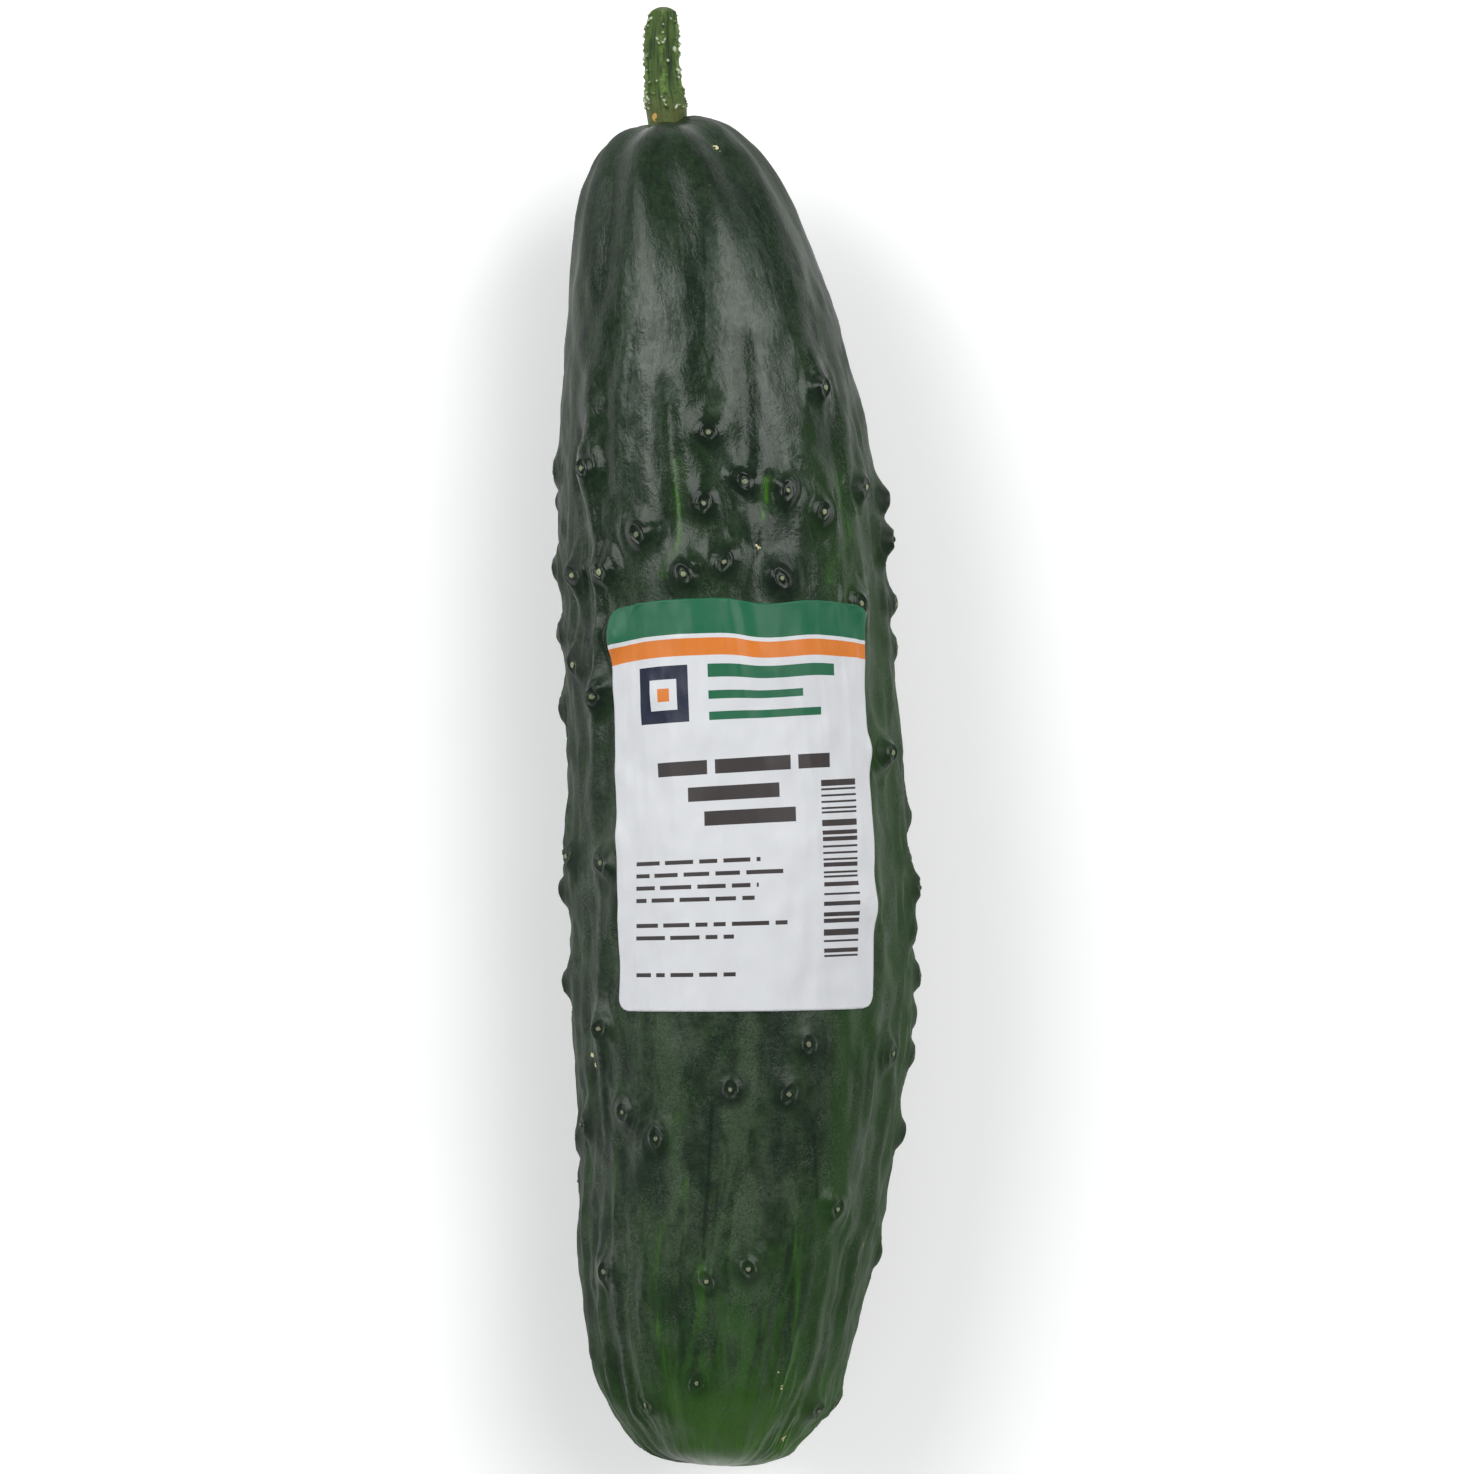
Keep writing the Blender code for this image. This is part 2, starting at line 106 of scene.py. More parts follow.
# Warts of the upper side: place in the picture, and size, where 1 is a full-grown wart
UPPER_WARTS_MM = (
    (159.8, 13.2, 0.8), (153.2, -4.3, 0.8), (147.8, -23.4, 0.9), (146.0, 1.3, 0.8),
    (144.6, 7.6, 0.8), (141.5, 13.3, 0.9), (145.1, 19.5, 0.9), (142.7, -5.0, 0.8),
    (138.0, -15.3, 0.9), (132.3, -8.1, 0.9), (134.0, -1.9, 0.8), (131.6, 6.7, 0.8),
    (127.9, 18.7, 0.9), (132.5, -20.9, 0.9), (132.0, -24.6, 0.8), (122.6, -19.4, 0.8),
    (118.7, -24.5, 0.8), (114.0, -21.6, 0.9), (90.4, -25.2, 0.7), (89.4, -20.9, 0.9),
    (105.7, 23.3, 1.7), (83.1, 20.0, 0.7), (64.9, -20.9, 0.9), (62.5, 10.9, 0.8),
    (61.2, 23.6, 0.9), (55.8, -1.0, 0.8), (55.1, 7.9, 0.8), (52.5, -17.9, 0.9),
    (50.8, -23.3, 0.8), (48.6, -12.7, 0.8), (38.1, 15.4, 0.9), (29.0, -20.2, 0.8),
    (29.2, 1.8, 0.9), (27.4, -4.7, 0.5), (12.4, -6.1, 0.6), (9.2, -14.1, 0.5),
    (8.7, 12.2, 0.7),
)
# Warts of the outline, at its left and right: distance and size
EDGE_REACH_MM = 30.0
EDGE_ANGLE = math.radians(88)
EDGE_SWAY = math.radians(9)
LEFT_EDGE_WARTS_MM = (
    (147.3, 0.75), (133.1, 0.95), (123.4, 0.9), (112.3, 1.0), (91.0, 0.4), (85.1, 1.1),
    (71.7, 1.0), (48.6, 0.65), (42.2, 0.4),
)
RIGHT_EDGE_WARTS_MM = (
    (143.2, 0.65), (137.1, 1.15), (127.6, 1.0), (121.4, 0.7), (96.5, 0.6), (85.8, 0.95),
    (79.5, 0.6), (72.8, 1.0), (66.5, 0.7), (60.9, 0.9), (49.5, 1.05), (32.0, 0.75),
    (9.3, 0.65),
)
# Warts of the under side, in rows at these angles, but none on the flat spot
UNDER_ROWS = (-155, -133, -112, 110, 131, 152, 177)
UNDER_FIRST = 14.0 * MM
UNDER_LAST = 158.0 * MM
UNDER_STEP = (19.0 * MM, 33.0 * MM)
UNDER_SWAY = math.radians(6)
UNDER_SIZES = (0.55, 1.0)
FLAT_ZONE_ANGLE = math.radians(157)
FLAT_ZONE = (46.0 * MM, 138.0 * MM)
WART_SEED = 7
STYLE_SEED = 19
# Small bumps without a scar, beside some warts: place in the picture
SIDE_BUMPS_MM = (
    (160.2, 11.1), (138.7, -12.6), (133.8, -5.9), (146.0, 5.3), (39.7, 13.6), (147.0, -0.9),
    (133.2, -22.6), (115.6, -19.8),
)
SIDE_BUMP_RADIUS = 1.7 * MM
SIDE_BUMP_HEIGHT = 0.42 * MM

# Hollows of the stem half, which have no bloom or painted sheen
HOLLOWS_MM = (
    ((171, 0.0), (166.5, 0.6), (162.4, 0.9), (156, 1.4), (150, 1.6), (144, 1.2)),
    ((160, -11.0), (156, -10.6), (153, -10.2), (149, -9.8), (145, -9.2), (138, -9.0)),
)
# Lines on the skin, by kind: the length over which a line ends, and the places in the picture
# that each line runs through. Folds run from wart to wart, the dark gaps in the painted sheen have
# no bloom or sheen laid on them, and dust lies in bands.
LINES_MM = {
    "fold": (7.0, (
        ((158, -21.2), (155.0, -21.9), (153.1, -22.4), (150.4, -23.7), (147.8, -23.7),
         (145.1, -23.0), (141.8, -21.9), (138.6, -21.3), (135.3, -21.8), (131.9, -21.5),
         (127.0, -20.3), (122.4, -20.3), (115, -22.1), (107.6, -20.6), (102.4, -21.8),
         (92.8, -20.9), (89.8, -21.9), (83.1, -19.9), (71.3, -20.2), (66.1, -21.3),
         (60.2, -20.0), (42.4, -20.0), (29.8, -20.9), (24.6, -19.7), (14.2, -18.5),
         (8.3, -17.3)),
        ((147, 20.9), (134.3, 21.3), (128.3, 21.2), (120.9, 22.7), (110.6, 23.7),
         (100.2, 24.0), (86.8, 24.6), (69.1, 24.2), (61.7, 24.2), (52.8, 22.4), (46.8, 21.8),
         (35.0, 19.7), (32.9, 18.8), (25.2, 16.0), (20.2, 15.7)),
        ((40, -18.0), (36.5, -18.4), (24.6, -18.2), (15.7, -17.2), (9.8, -15.9), (5.3, -13.9)),
        ((108, 24.4), (104, 24.7), (97.2, 25.0), (91, 25.3), (83.6, 26.0), (76.7, 25.6),
         (72.3, 25.3)),
        ((139, -23.4), (135.3, -24.4), (132.6, -24.5), (130.0, -23.9), (127.0, -23.0),
         (123, -23.6), (118, -24.6), (112, -24.2), (106, -23.4)),
    )),
    "crease": (8.0, (
        ((58, -3.4), (49.8, -4.0), (42.4, -4.5), (35.0, -4.9), (26.8, -5.0)),
        ((56, 10.6), (50.2, 11.3), (44.0, 11.8), (39.4, 11.9), (35.7, 12.3)),
        ((47, -3.0), (40, -3.2), (33, -3.9), (28.5, -4.2)),
        ((178, -13.2), (170, -15.1), (160, -16.4), (150, -17.6)),
    )),
    "hollow": (8.0, HOLLOWS_MM),
    # Dark gaps in the painted sheen: neither bloom nor painted sheen is laid along these
    "clean": (6.0, (
        ((193, -5.9), (187.6, -6.4), (172.8, -6.4), (158, -6.1), (146, -5.3), (134.3, -4.4)),
        ((190, -17.4), (178.7, -18.9), (168.3, -19.4), (155, -19.7), (142, -20.6)),
        ((187, 9.3), (178, 12.2), (165, 14.8), (150, 17.4), (135, 18.6)),
        *HOLLOWS_MM,
    )),
    "dust": (12.0, (
        ((72, -11.6), (64, -11.0), (56, -10.4), (48, -9.9), (40, -9.4), (32, -9.6), (26, -9.8)),
        ((72, 1.6), (64, 1.4), (56, 0.9), (48, 0.4), (40, 0.2), (32, -0.2), (26, -0.6)),
        ((56, 9.8), (48, 9.6), (40, 9.0), (32, 8.2)),
    )),
    "vein": (5.0, (
        ((152, -9.6), (146.1, -9.3), (136.5, -9.3), (134.0, -10.5), (131.7, -11.1),
         (129.5, -9.3)),
        ((149, 4.2), (146.1, 4.0), (142.4, 4.0), (138, 3.4)),
        ((150, 15.2), (141.7, 16.0), (138.6, 16.9), (133.2, 14.1), (128.3, 14.4)),
        ((55, -8.5), (45.3, -9.5), (42.4, -7.9), (36.6, -10.8), (18.7, -11.6), (12.7, -10.2),
         (6.8, -8.4), (3, -6.4)),
        ((50, 9.6), (42, 8.9), (30, 8.6), (15.0, 8.2), (9.8, 5.6), (5, 2.6)),
        ((32, -5.4), (17.2, -4.3), (6.8, -3.7), (3, -3.4)),
        ((18, 2.4), (9, 1.4), (4, -0.8)),
        ((60, -22.0), (45, -22.4), (28, -21.9)),
    )),
    "scratch": (3.0, (
        ((34.5, 19.4), (32.9, 18.9), (28.5, 17.4), (25.2, 16.2), (20.2, 15.7)),
    )),
}
# Kinds of lines whose distance the material reads
PAINTED_LINES = ("fold", "crease", "clean", "dust", "vein", "scratch")
FAR = 30.0 * MM
# Folds and veins under the fruit: the angles that they sway about
UNDER_FOLDS = (-161, -139, -116, 113, 137, 160)
UNDER_VEINS = (-170, -148, -125, -103, 101, 124, 145, 168)
UNDER_LINE_SWAY = math.radians(3.5)
UNDER_LINE_STEP = 12.0 * MM
UNDER_FOLD_STATIONS = (12.0 * MM, 172.0 * MM)
UNDER_VEIN_FIRST_MM = (2, 8)
UNDER_VEIN_LAST_MM = (35, 110)
FOLD_SEED = 5
VEIN_SEED = 11

# A fold is a crest with a narrow edge, between two shallow valleys
FOLD_HEIGHT = 0.7 * MM
FOLD_WIDTH = 1.05 * MM
FOLD_EDGE = 0.2 * MM
FOLD_SWELL = 0.3
FOLD_SWELL_REACH = 9.0 * MM
FOLD_SWELL_SHIFT = 5
FOLD_SMOOTHING = 2
VALLEY_DEPTH = 0.2 * MM
VALLEY_OFFSET = 2.0 * MM
VALLEY_WIDTH = 1.0 * MM
CREASE_DEPTH = 0.2 * MM
CREASE_WIDTH = 0.38 * MM
HOLLOW_DEPTH = 0.62 * MM
HOLLOW_WIDTH = 1.7 * MM

# Cream flecks: place in the picture and radius
FLECKS_MM = (
    (195.4, -2.7, 0.5), (136.3, 3.1, 0.4), (11.7, 6.7, 0.35), (13.9, 6.3, 0.25),
    (4.1, 7.0, 0.35), (60.9, -21.8, 0.3), (59.4, -21.3, 0.25),
)

# Waves of the skin: height, size round and along the fruit, seed
WAVES = (
    (0.16 * MM, (7.0 * MM, 22.0 * MM, 7.0 * MM), 3),
    (0.2 * MM, (3.6 * MM, 7.0 * MM, 3.6 * MM), 4),
    (0.1 * MM, (1.9 * MM, 3.2 * MM, 1.9 * MM), 5),
)
SEED_STEP = np.array([17.3, 5.9, 11.1])
# Lengthwise crests that bend round the warts: height, size round and along the fruit, seed
DRAPES = (
    (0.5 * MM, 4.2 * MM, 30.0 * MM, 7),
    (0.3 * MM, 2.3 * MM, 17.0 * MM, 8),
)
DRAPE_STATIONS = (172.0 * MM, 148.0 * MM)
DRAPE_TOP = 0.3
# How far the skin between crests is lowered, as a share of their height
DRAPE_BASE = 0.5
FLOW_RADIUS = 2.2 * MM
# Waves and crests are higher on the flanks, and lower at the crown and at both poles
FLANK_ANGLES = (math.radians(20), math.radians(62))
FLANK_WAVES = 1.15
CROWN_CALM = 0.6
CROWN_STATIONS = (165.0 * MM, 188.0 * MM)
POLE_CALM_RADIUS = 12.0 * MM
# The fine skin lies this much lower than the smooth one, so that waves stay inside it
SINK = 0.14 * MM

# Stem, as in part.py, with finer bristles: station, radius, axis to the right of the middle
STEM_MM = (
    (196, 2.8, -9.9), (199, 2.9, -10.3), (201.5, 3.05, -10.5), (204, 2.85, -10.8),
    (208, 2.6, -11.1), (212, 2.5, -11.15), (214, 2.3, -11.05), (215.4, 1.9, -10.9),
)
STEM_FOOT = 196.0 * MM
STEM_TOP = 215.4 * MM
STEM_END_ROUNDING = 0.8 * MM
STEM_LIFT = 2.4 * MM
STEM_RIB_COUNT = 6
STEM_RIB_HEIGHT = 0.22 * MM
STEM_RIB_START = 3.0 * MM
BUMP_COUNT = 150
BUMP_FIRST = 201.0 * MM
BUMP_TOP_MARGIN = 0.5 * MM
BUMP_RADIUS = 0.62 * MM
BUMP_HEIGHTS = (0.08 * MM, 0.22 * MM)
BUMP_SEED = 21
BRISTLE_RADII = (0.13 * MM, 0.24 * MM)
BRISTLE_STRETCHES = (0.7, 1.9)
BRISTLE_SLANTS = (-0.8, 0.8)
BRISTLE_HEIGHT = 0.24 * MM
# Dry fleck on the left of the stem's foot: place in the picture and radius
STEM_FLECK_MM = (199.7, -12.1, 0.62)

# Label
LABEL_WIDTH = 42.2 * MM
LABEL_HEIGHT = 59.2 * MM
LABEL_CORNER = 2.0 * MM
LABEL_STATION = 97.8 * MM
LABEL_ARC = 1.25 * MM
# Slope of its sides and of its ends
LABEL_TURN = 0.018
LABEL_SLOPE = -0.012
# Across from the label's middle and how far its upper edge rises there
LABEL_TOP_MM = (
    (-22, 0.1), (-15, 1.0), (-6, 1.0), (-1.5, 0.65), (2.5, -0.35), (12, -0.5), (17, -1.2),
    (22, -2.1),
)
LABEL_TOP_REACH = 22.0 * MM
LABEL_CELL = 0.3 * MM
LABEL_THICKNESS = 0.11 * MM
LABEL_GAP = 0.1 * MM
LABEL_SMOOTHING = 14
LABEL_LAST_SMOOTHING = 2
# Wrinkles: place across, upper end, slant, width and height
WRINKLES_MM = (
    (-16.6, 29.6, -0.06, 0.7, 0.28), (-12.5, 29.6, 0.05, 1.2, 0.16), (-1.5, 29.6, 0.12, 1.0, 0.32),
    (1.4, 29.6, 0.22, 1.3, 0.28), (9.5, 29.6, 0.05, 1.5, 0.18), (15.5, 29.6, -0.08, 1.2, 0.16),
    (5.0, 19.0, 0.35, 0.9, 0.16), (-9.0, 23.0, 0.15, 1.4, 0.13),
)
WRINKLE_LENGTH = 16.0 * MM
# Inks: colour and roughness
INKS = {
    "film": ((0.585, 0.597, 0.618), 0.42),
    "green": ((0.008, 0.112, 0.05), 0.42),
    "orange": ((0.6, 0.17, 0.02), 0.42),
    "navy": ((0.009, 0.014, 0.035), 0.36),
    "text": ((0.035, 0.028, 0.028), 0.5),
}
WORN_SHARE = 0.9
WORN_GREY = 0.012
# Print: left, bottom, right and top from the label's middle, and ink
PRINT_MM = (
    (-21.3, 24.6, 21.3, 29.7, "green"),
    (-21.3, 21.6, 21.3, 24.0, "orange"),
    (-15.8, 12.6, -8.0, 20.4, "navy"),
    (-14.0, 14.4, -9.8, 18.6, "film"),
    (-12.8, 15.6, -11.0, 17.4, "orange"),
    (-4.8, 18.6, 14.8, 20.4, "green"),
    (-4.8, 15.6, 9.0, 16.8, "green"),
    (-4.8, 12.6, 12.0, 13.8, "green"),
    (-13.4, 4.8, -5.4, 6.9, "text"),
    (-4.2, 4.8, 6.6, 6.9, "text"),
    (7.8, 4.8, 13.2, 6.9, "text"),
    (-8.4, 0.9, 4.8, 3.0, "text"),
    (-6.0, -3.0, 7.2, -0.9, "text"),
)
SMALL_PRINT_ROWS_MM = (-8.4, -10.2, -12.0, -13.8, -17.4, -19.2, -24.6)
SMALL_PRINT_LEFT_MM = -17.4
SMALL_PRINT_RIGHT_MM = 6.6
SMALL_PRINT_HEIGHT_MM = 0.6
ROW_FILLS = (0.55, 1)
WORD_MM = (1.5, 5.4)
WORD_GAP_MM = 0.9
BARS_MM = (11.4, -22.2, 17.7, 2.4)
BAR_STEP_MM = 0.3
BAR_STEPS = (1, 1, 2, 3)
PRINT_SEED = 33

# Mesh density
FRUIT_AROUND = 180
FRUIT_ALONG = 230
STEM_AROUND = 140
STEM_ALONG = 190
STEM_END_RINGS = 10
REFINE_REACHES = (4.4 * MM, 2.7 * MM, 1.8 * MM)
SAMPLES = 400
LEAN_ROUNDS = 4
EDGE_STATION = 0.02 * MM
# Directions of the skin are measured over these steps, at least this far from both poles
POLE_MARGIN = 0.4 * MM
STEP = 0.1 * MM
TURN_STEP = 0.01

# Studio
FRAME_WIDTH = 218.4 * MM
CAMERA_DISTANCE = 1.5
FOCUS_HEIGHT = 25.0 * MM
SENSOR = 36.0
VIEW_END = 100.0
FLOOR_SIZE = 24.0
FLOOR_WHITE = 0.97
FLOOR_ROUGHNESS = 0.9
# A lit floor, as under a light table, keeps the shadows pale
FLOOR_GLOW = 0.1
# Softboxes: tilt from straight above and width, as seen from the fruit, in degrees, and power
# in watts per square metre. The narrow ones give the broad ones brighter middles.
SOFTBOXES = ((-48, 50, 12.5), (-45, 26, 7.5), (36, 50, 12.5), (35, 26, 7.0))
LIGHT_DISTANCE = 2.6
LIGHT_LEAN = 20
LIGHT_SPREAD = 29
ROOM_GREY = (0.26, 0.265, 0.27)

Wart = namedtuple("Wart", "station angle size mound hood skew stretch shade scar")
Line = namedtuple("Line", "stations angles end")
Bristle = namedtuple("Bristle", "station angle height radius stretch slant")

# What materials are made of. A material's sources have names, and a name that it doesn't list
# is a number stored on the vertices. A list is the sum of its sources. The noise of Grown is
# stretched along the fruit, the noise of Grain is even in space, and a Ramp goes from start,
# where its source is low, to end, where it is high.
Grown = namedtuple("Grown", "around along detail distortion")
Grain = namedtuple("Grain", "scale detail distortion", defaults=(0.0,))
Ramp = namedtuple("Ramp", "source low high start end", defaults=(0.0, 1.0))
Product = namedtuple("Product", "first second")
# Layers lie on the base from the bottom up. Each has a colour, or a base with layers of its
# own, and factors whose product is the share of it that shows.
Look = namedtuple("Look", "base layers sources roughness relief bump ior")
# Parts of the stored place: from -1 at the left to 1 at the right, from -1 below to 1 on top,
# and from 0 at the blossom end to 1 at the crown
PLACE_PARTS = ("across", "up", "along")

SKIN_DARK = (0.0068, 0.0156, 0.0084)
SKIN_MID = (0.0108, 0.0256, 0.01)
SKIN_LEAF = (0.0145, 0.037, 0.0105)
SKIN_DUSK = (0.028, 0.044, 0.0265)
# Darkest green: dark mottling, and painted shade round the warts, in creases and beside folds
SKIN_NIGHT = (0.0048, 0.0092, 0.0064)
SKIN_END = (0.0235, 0.08, 0.0095)
SKIN_TIP = (0.048, 0.138, 0.015)
SKIN_PLAIN = (0.0165, 0.047, 0.0105)
SKIN_VEIN = (0.036, 0.122, 0.0085)
SKIN_DUST = (0.052, 0.083, 0.044)
SKIN_GRAIN = (0.074, 0.1, 0.07)
# Bloom with painted sheen: a pale waxy film that also stands in for the softboxes' hazy reflection
SKIN_SHEEN_AND_BLOOM = (0.085, 0.108, 0.086)
SHEEN_AND_BLOOM_STRENGTH = 0.55
# Painted highlight on the crests of wart rims
RIM_HIGHLIGHT = (0.1, 0.115, 0.1)
# Painted highlight on the crests of folds
FOLD_HIGHLIGHT = (0.1, 0.12, 0.095)
SCAR_RIM = (0.008, 0.012, 0.007)
SCAR_PALE = (0.3, 0.34, 0.19)
SCAR_DULL = (0.13, 0.155, 0.09)
CREAM = (0.5525, 0.493, 0.2805)
SCRATCH_COLOUR = (0.17, 0.1275, 0.0595)
BLOSSOM_SCAR = (0.095, 0.09, 0.036)

# Pale scars, with a dull hollow in the middle
SCAR_LAYERS = (
    (SCAR_PALE, "shade"),
    (SCAR_DULL, Ramp("scar_edge", -0.18, -0.36, 0.0, 0.7)),
)
SKIN_LAYERS = (
    # Mottling, from patches of a few millimetres down to fine grit
    (SKIN_MID, Ramp("broad", 0.36, 0.64)),
    (SKIN_LEAF, Ramp("streaks", 0.42, 0.72), Ramp("along", 0.85, 0.25, 0.3, 1.0)),
    (SKIN_DUSK, Ramp("cloudy", 0.42, 0.62), Ramp("along", 0.6, 0.4, 0.15, 0.75),
     Ramp("grit", 0.36, 0.62, 0.3, 1.0)),
    (SKIN_NIGHT, Ramp("cloudy", 0.42, 0.26, 0.0, 0.5)),
    (SKIN_NIGHT, Ramp("grit", 0.52, 0.34, 0.0, 0.35)),
    (SKIN_DUSK, Ramp("grit", 0.5, 0.68, 0.0, 0.22)),
    (SKIN_NIGHT, Ramp("mottle", 0.5, 0.32, 0.0, 0.5)),
    (SKIN_DUSK, Ramp("mottle", 0.52, 0.7, 0.0, 0.3)),
    # Brighter green at the blossom end, less so at its left, with dark and dusty blotches
    (SKIN_END, Ramp("along", 0.24, 0.0), Ramp("streaks", 0.36, 0.62, 0.15, 1.0), "left"),
    (SKIN_TIP, Ramp("along", 0.1, 0.0), Ramp("streaks", 0.7, 0.3, 0.25, 0.9), "left"),
    (SKIN_DARK, Ramp("blotches", 0.52, 0.36), Ramp("along", 0.6, 0.4, 0.0, 0.7),
     Ramp("along", 0.02, 0.16)),
    (SKIN_DUST, Ramp("blotches", 0.5, 0.66), Ramp("along", 0.6, 0.4, 0.0, 0.25)),
    # A plain green strip on the right side
    (SKIN_PLAIN, Ramp("across", 0.45, 0.65), Ramp("plain", 0.88, 0.5),
     Ramp("broad", 0.3, 0.6, 0.5, 1.0), Ramp("along", 0.0, 0.14)),
    # Thin light green veins with a soft glow at their sides
    (SKIN_VEIN, "vein_core", Ramp("spots", 0.3, 0.6, 0.5, 1.0),
     Ramp("along", 0.3, 0.62, 0.6, 1.0)),
    # Fine grey dust in bands of the blossom half, and grain in patches, off the wart tips
    (SKIN_DUST, Ramp("dust", 2.8, 0.2, 0.0, 0.6), Ramp("powder", 0.36, 0.62, 0.45, 1.0),
     Ramp("tip_mm", 1.6, 3.4)),
    (SKIN_GRAIN, Ramp("powder", 0.42, 0.66), Ramp("patches", 0.36, 0.66),
     Ramp("spots", 0.3, 0.6, 0.4, 1.0), Ramp("along", 0.95, 0.7, 0.15, 0.5),
     Ramp("tip_mm", 2.2, 3.8)),
    # Soft bloom with painted sheen, which stands in for the softboxes' hazy reflection: ragged
    # lengthwise patches on the ribs of the stem half, in windows across the top
    (SKIN_SHEEN_AND_BLOOM, Ramp("puffs", 0.3, 0.62, 0.35, 1.1), Ramp("swirls", 0.36, 0.62, 0.6, 1.15),
     Ramp("clean", 0.9, 2.6), Ramp("window", -0.67, -0.54), Ramp("window", 0.66, 0.5),
     Ramp("along", 0.94, 0.88), Ramp("along", 0.56, 0.86), Ramp("cover", 0.34, 0.64),
     Ramp("tip_mm", 0.8, 4.6), SHEEN_AND_BLOOM_STRENGTH),
    # Painted shade round the warts, and a painted highlight on the crests of their rims
    (SKIN_NIGHT, Ramp("tip_mm", 3.4, 0.9, 0.0, 0.75), Ramp("cloudy", 0.3, 0.6, 0.55, 1.0),
     Ramp("along", 0.35, 0.62, 0.6, 1.0)),
    (RIM_HIGHLIGHT, Ramp("rim", 0.45, 0.95, 0.0, 0.75), Ramp("grit", 0.38, 0.6)),
    # Painted shade in the creases and at the sides of folds, and a little painted highlight on the
    # crests of the folds
    (SKIN_NIGHT, Ramp("crease_mm", 0.5, 0.1, 0.0, 0.7)),
    (SKIN_NIGHT, Ramp("fold", 2.6, 0.8, 0.0, 0.18)),
    (FOLD_HIGHLIGHT, Ramp("fold", 0.7, 0.1, 0.0, 0.4), Ramp("broad", 0.35, 0.55, 0.1, 1.0),
     Ramp("grit", 0.35, 0.6, 0.35, 1.0)),
    # Scars with a dark rim, flecks, the scratch and the scar of the blossom
    (SCAR_RIM, Ramp("scar_edge", 0.36, 0.1, 0.0, 0.85)),
    ((SCAR_DULL, SCAR_LAYERS), Ramp("scar_edge", 0.05, -0.05)),
    (CREAM, Ramp("fleck", -0.06, 0.08)),
    (SCRATCH_COLOUR, Ramp("scratch", 0.4, 0.15)),
    (SKIN_DARK, Ramp("pole", 4.4, 2.6, 0.0, 0.6)),
    (BLOSSOM_SCAR, Ramp("pole", 2.2, 0.9)),
)
SKIN_SOURCES = {
    # Patterns
    "broad": Grown(3.2, 9.0, 4.0, 0.8),
    "blotches": Grown(4.5, 26.0, 5.0, 0.7),
    "cloudy": Grown(5.0, 16.0, 5.0, 1.0),
    "patches": Grown(5.0, 24.0, 4.0, 1.0),
    "gloss": Grown(6.0, 22.0, 4.0, 0.4),
    "puffs": Grown(8.0, 58.0, 5.0, 0.9),
    "streaks": Grown(9.0, 14.0, 5.0, 1.3),
    "ragged": Grown(9.0, 26.0, 5.0, 1.2),
    "dents": Grown(14.0, 70.0, 4.0, 0.8),
    "wrinkles": Grown(16.0, 125.0, 3.0, 2.0),
    "swirls": Grown(17.0, 120.0, 3.0, 2.2),
    "spots": Grain(420.0, 3.0, 0.2),
    "mottle": Grain(560.0, 5.0, 0.8),
    "grit": Grain(1500.0, 3.0),
    "pores": Grain(1500.0, 2.0),
    "crumbs": Grain(1800.0, 2.0),
    "powder": Grain(3600.0, 3.0),
    # Distances and places with ragged edges
    "left": Ramp("across", -0.75, 0.0, 0.3, 1.0),
    "plain": ["along", Ramp("streaks", 0.3, 0.7, -0.06, 0.06)],
    # Windows across the top where the painted sheen lies, and how far along the fruit it reaches
    "window": ["across", Ramp("ragged", 0.3, 0.7, -0.06, 0.06)],
    "cover": ["ragged", Ramp("along", 0.62, 0.85, -0.1, 0.16)],
    # Distance from the gaps in the painted sheen, with ragged edges
    "clean": ["clean_mm", Ramp("ragged", 0.3, 0.7, 1.1, -1.5)],
    "dust": ["dust_mm", Ramp("cloudy", 0.3, 0.7, 2.2, -1.6)],
    "vein": ["vein_mm", Ramp("streaks", 0.3, 0.7, 0.6, -0.3)],
    "vein_core": [Ramp("vein", 1.8, 0.3, 0.0, 0.22), Ramp("vein", 0.55, 0.05, 0.0, 0.7)],
    "fold": ["fold_mm", Ramp("spots", 0.3, 0.7, -0.1, 0.2)],
    "scar_edge": ["scar_mm", Ramp("crumbs", 0.3, 0.7, -0.07, 0.07)],
    "fleck": ["fleck_mm", Ramp("crumbs", 0.3, 0.7, -0.5, 0.25)],
    "scratch": ["scratch_mm", Ramp("spots", 0.35, 0.65, 0.35, -0.1)],
    "pole": ["pole_mm", Ramp("crumbs", 0.3, 0.7, -0.9, 0.9)],
}
# Waxy skin, glossy at the stem end and round the warts, and duller towards the blossom, on the
# flanks, at the crown and on scars. Its fine relief is dents, wrinkles and pores.
SKIN_LOOK = Look(
    SKIN_DARK, SKIN_LAYERS, SKIN_SOURCES,
    roughness=[
        Ramp("gloss", 0.35, 0.7, 0.15, 0.22), Ramp("along", 0.75, 0.5, 0.0, 0.17),
        Ramp("up", 0.62, 0.4, 0.0, 0.25), Ramp("along", 0.88, 0.97, 0.0, 0.14),
        Ramp("tip_mm", 3.4, 1.5, 0.0, -0.04), Ramp("scar_mm", 0.1, 0.0, 0.0, 0.3),
    ],
    relief=[
        Product("dents", 0.55), Product("wrinkles", 0.3),
        Product("pores", Ramp("along", 0.8, 0.55, 0.06, 0.2)),
    ],
    bump=0.16 * MM,
    ior=1.28,
)

STEM_DARK = (0.0131, 0.0295, 0.0077)
STEM_GREEN = (0.054, 0.1, 0.018)
STEM_LIGHT = (0.118, 0.205, 0.04)
STEM_BROWN = (0.082, 0.093, 0.026)
STEM_CUT = (0.1, 0.13, 0.05)
STEM_WHITE = (0.43, 0.47, 0.35)
STEM_FLECK = (0.5, 0.3, 0.08)

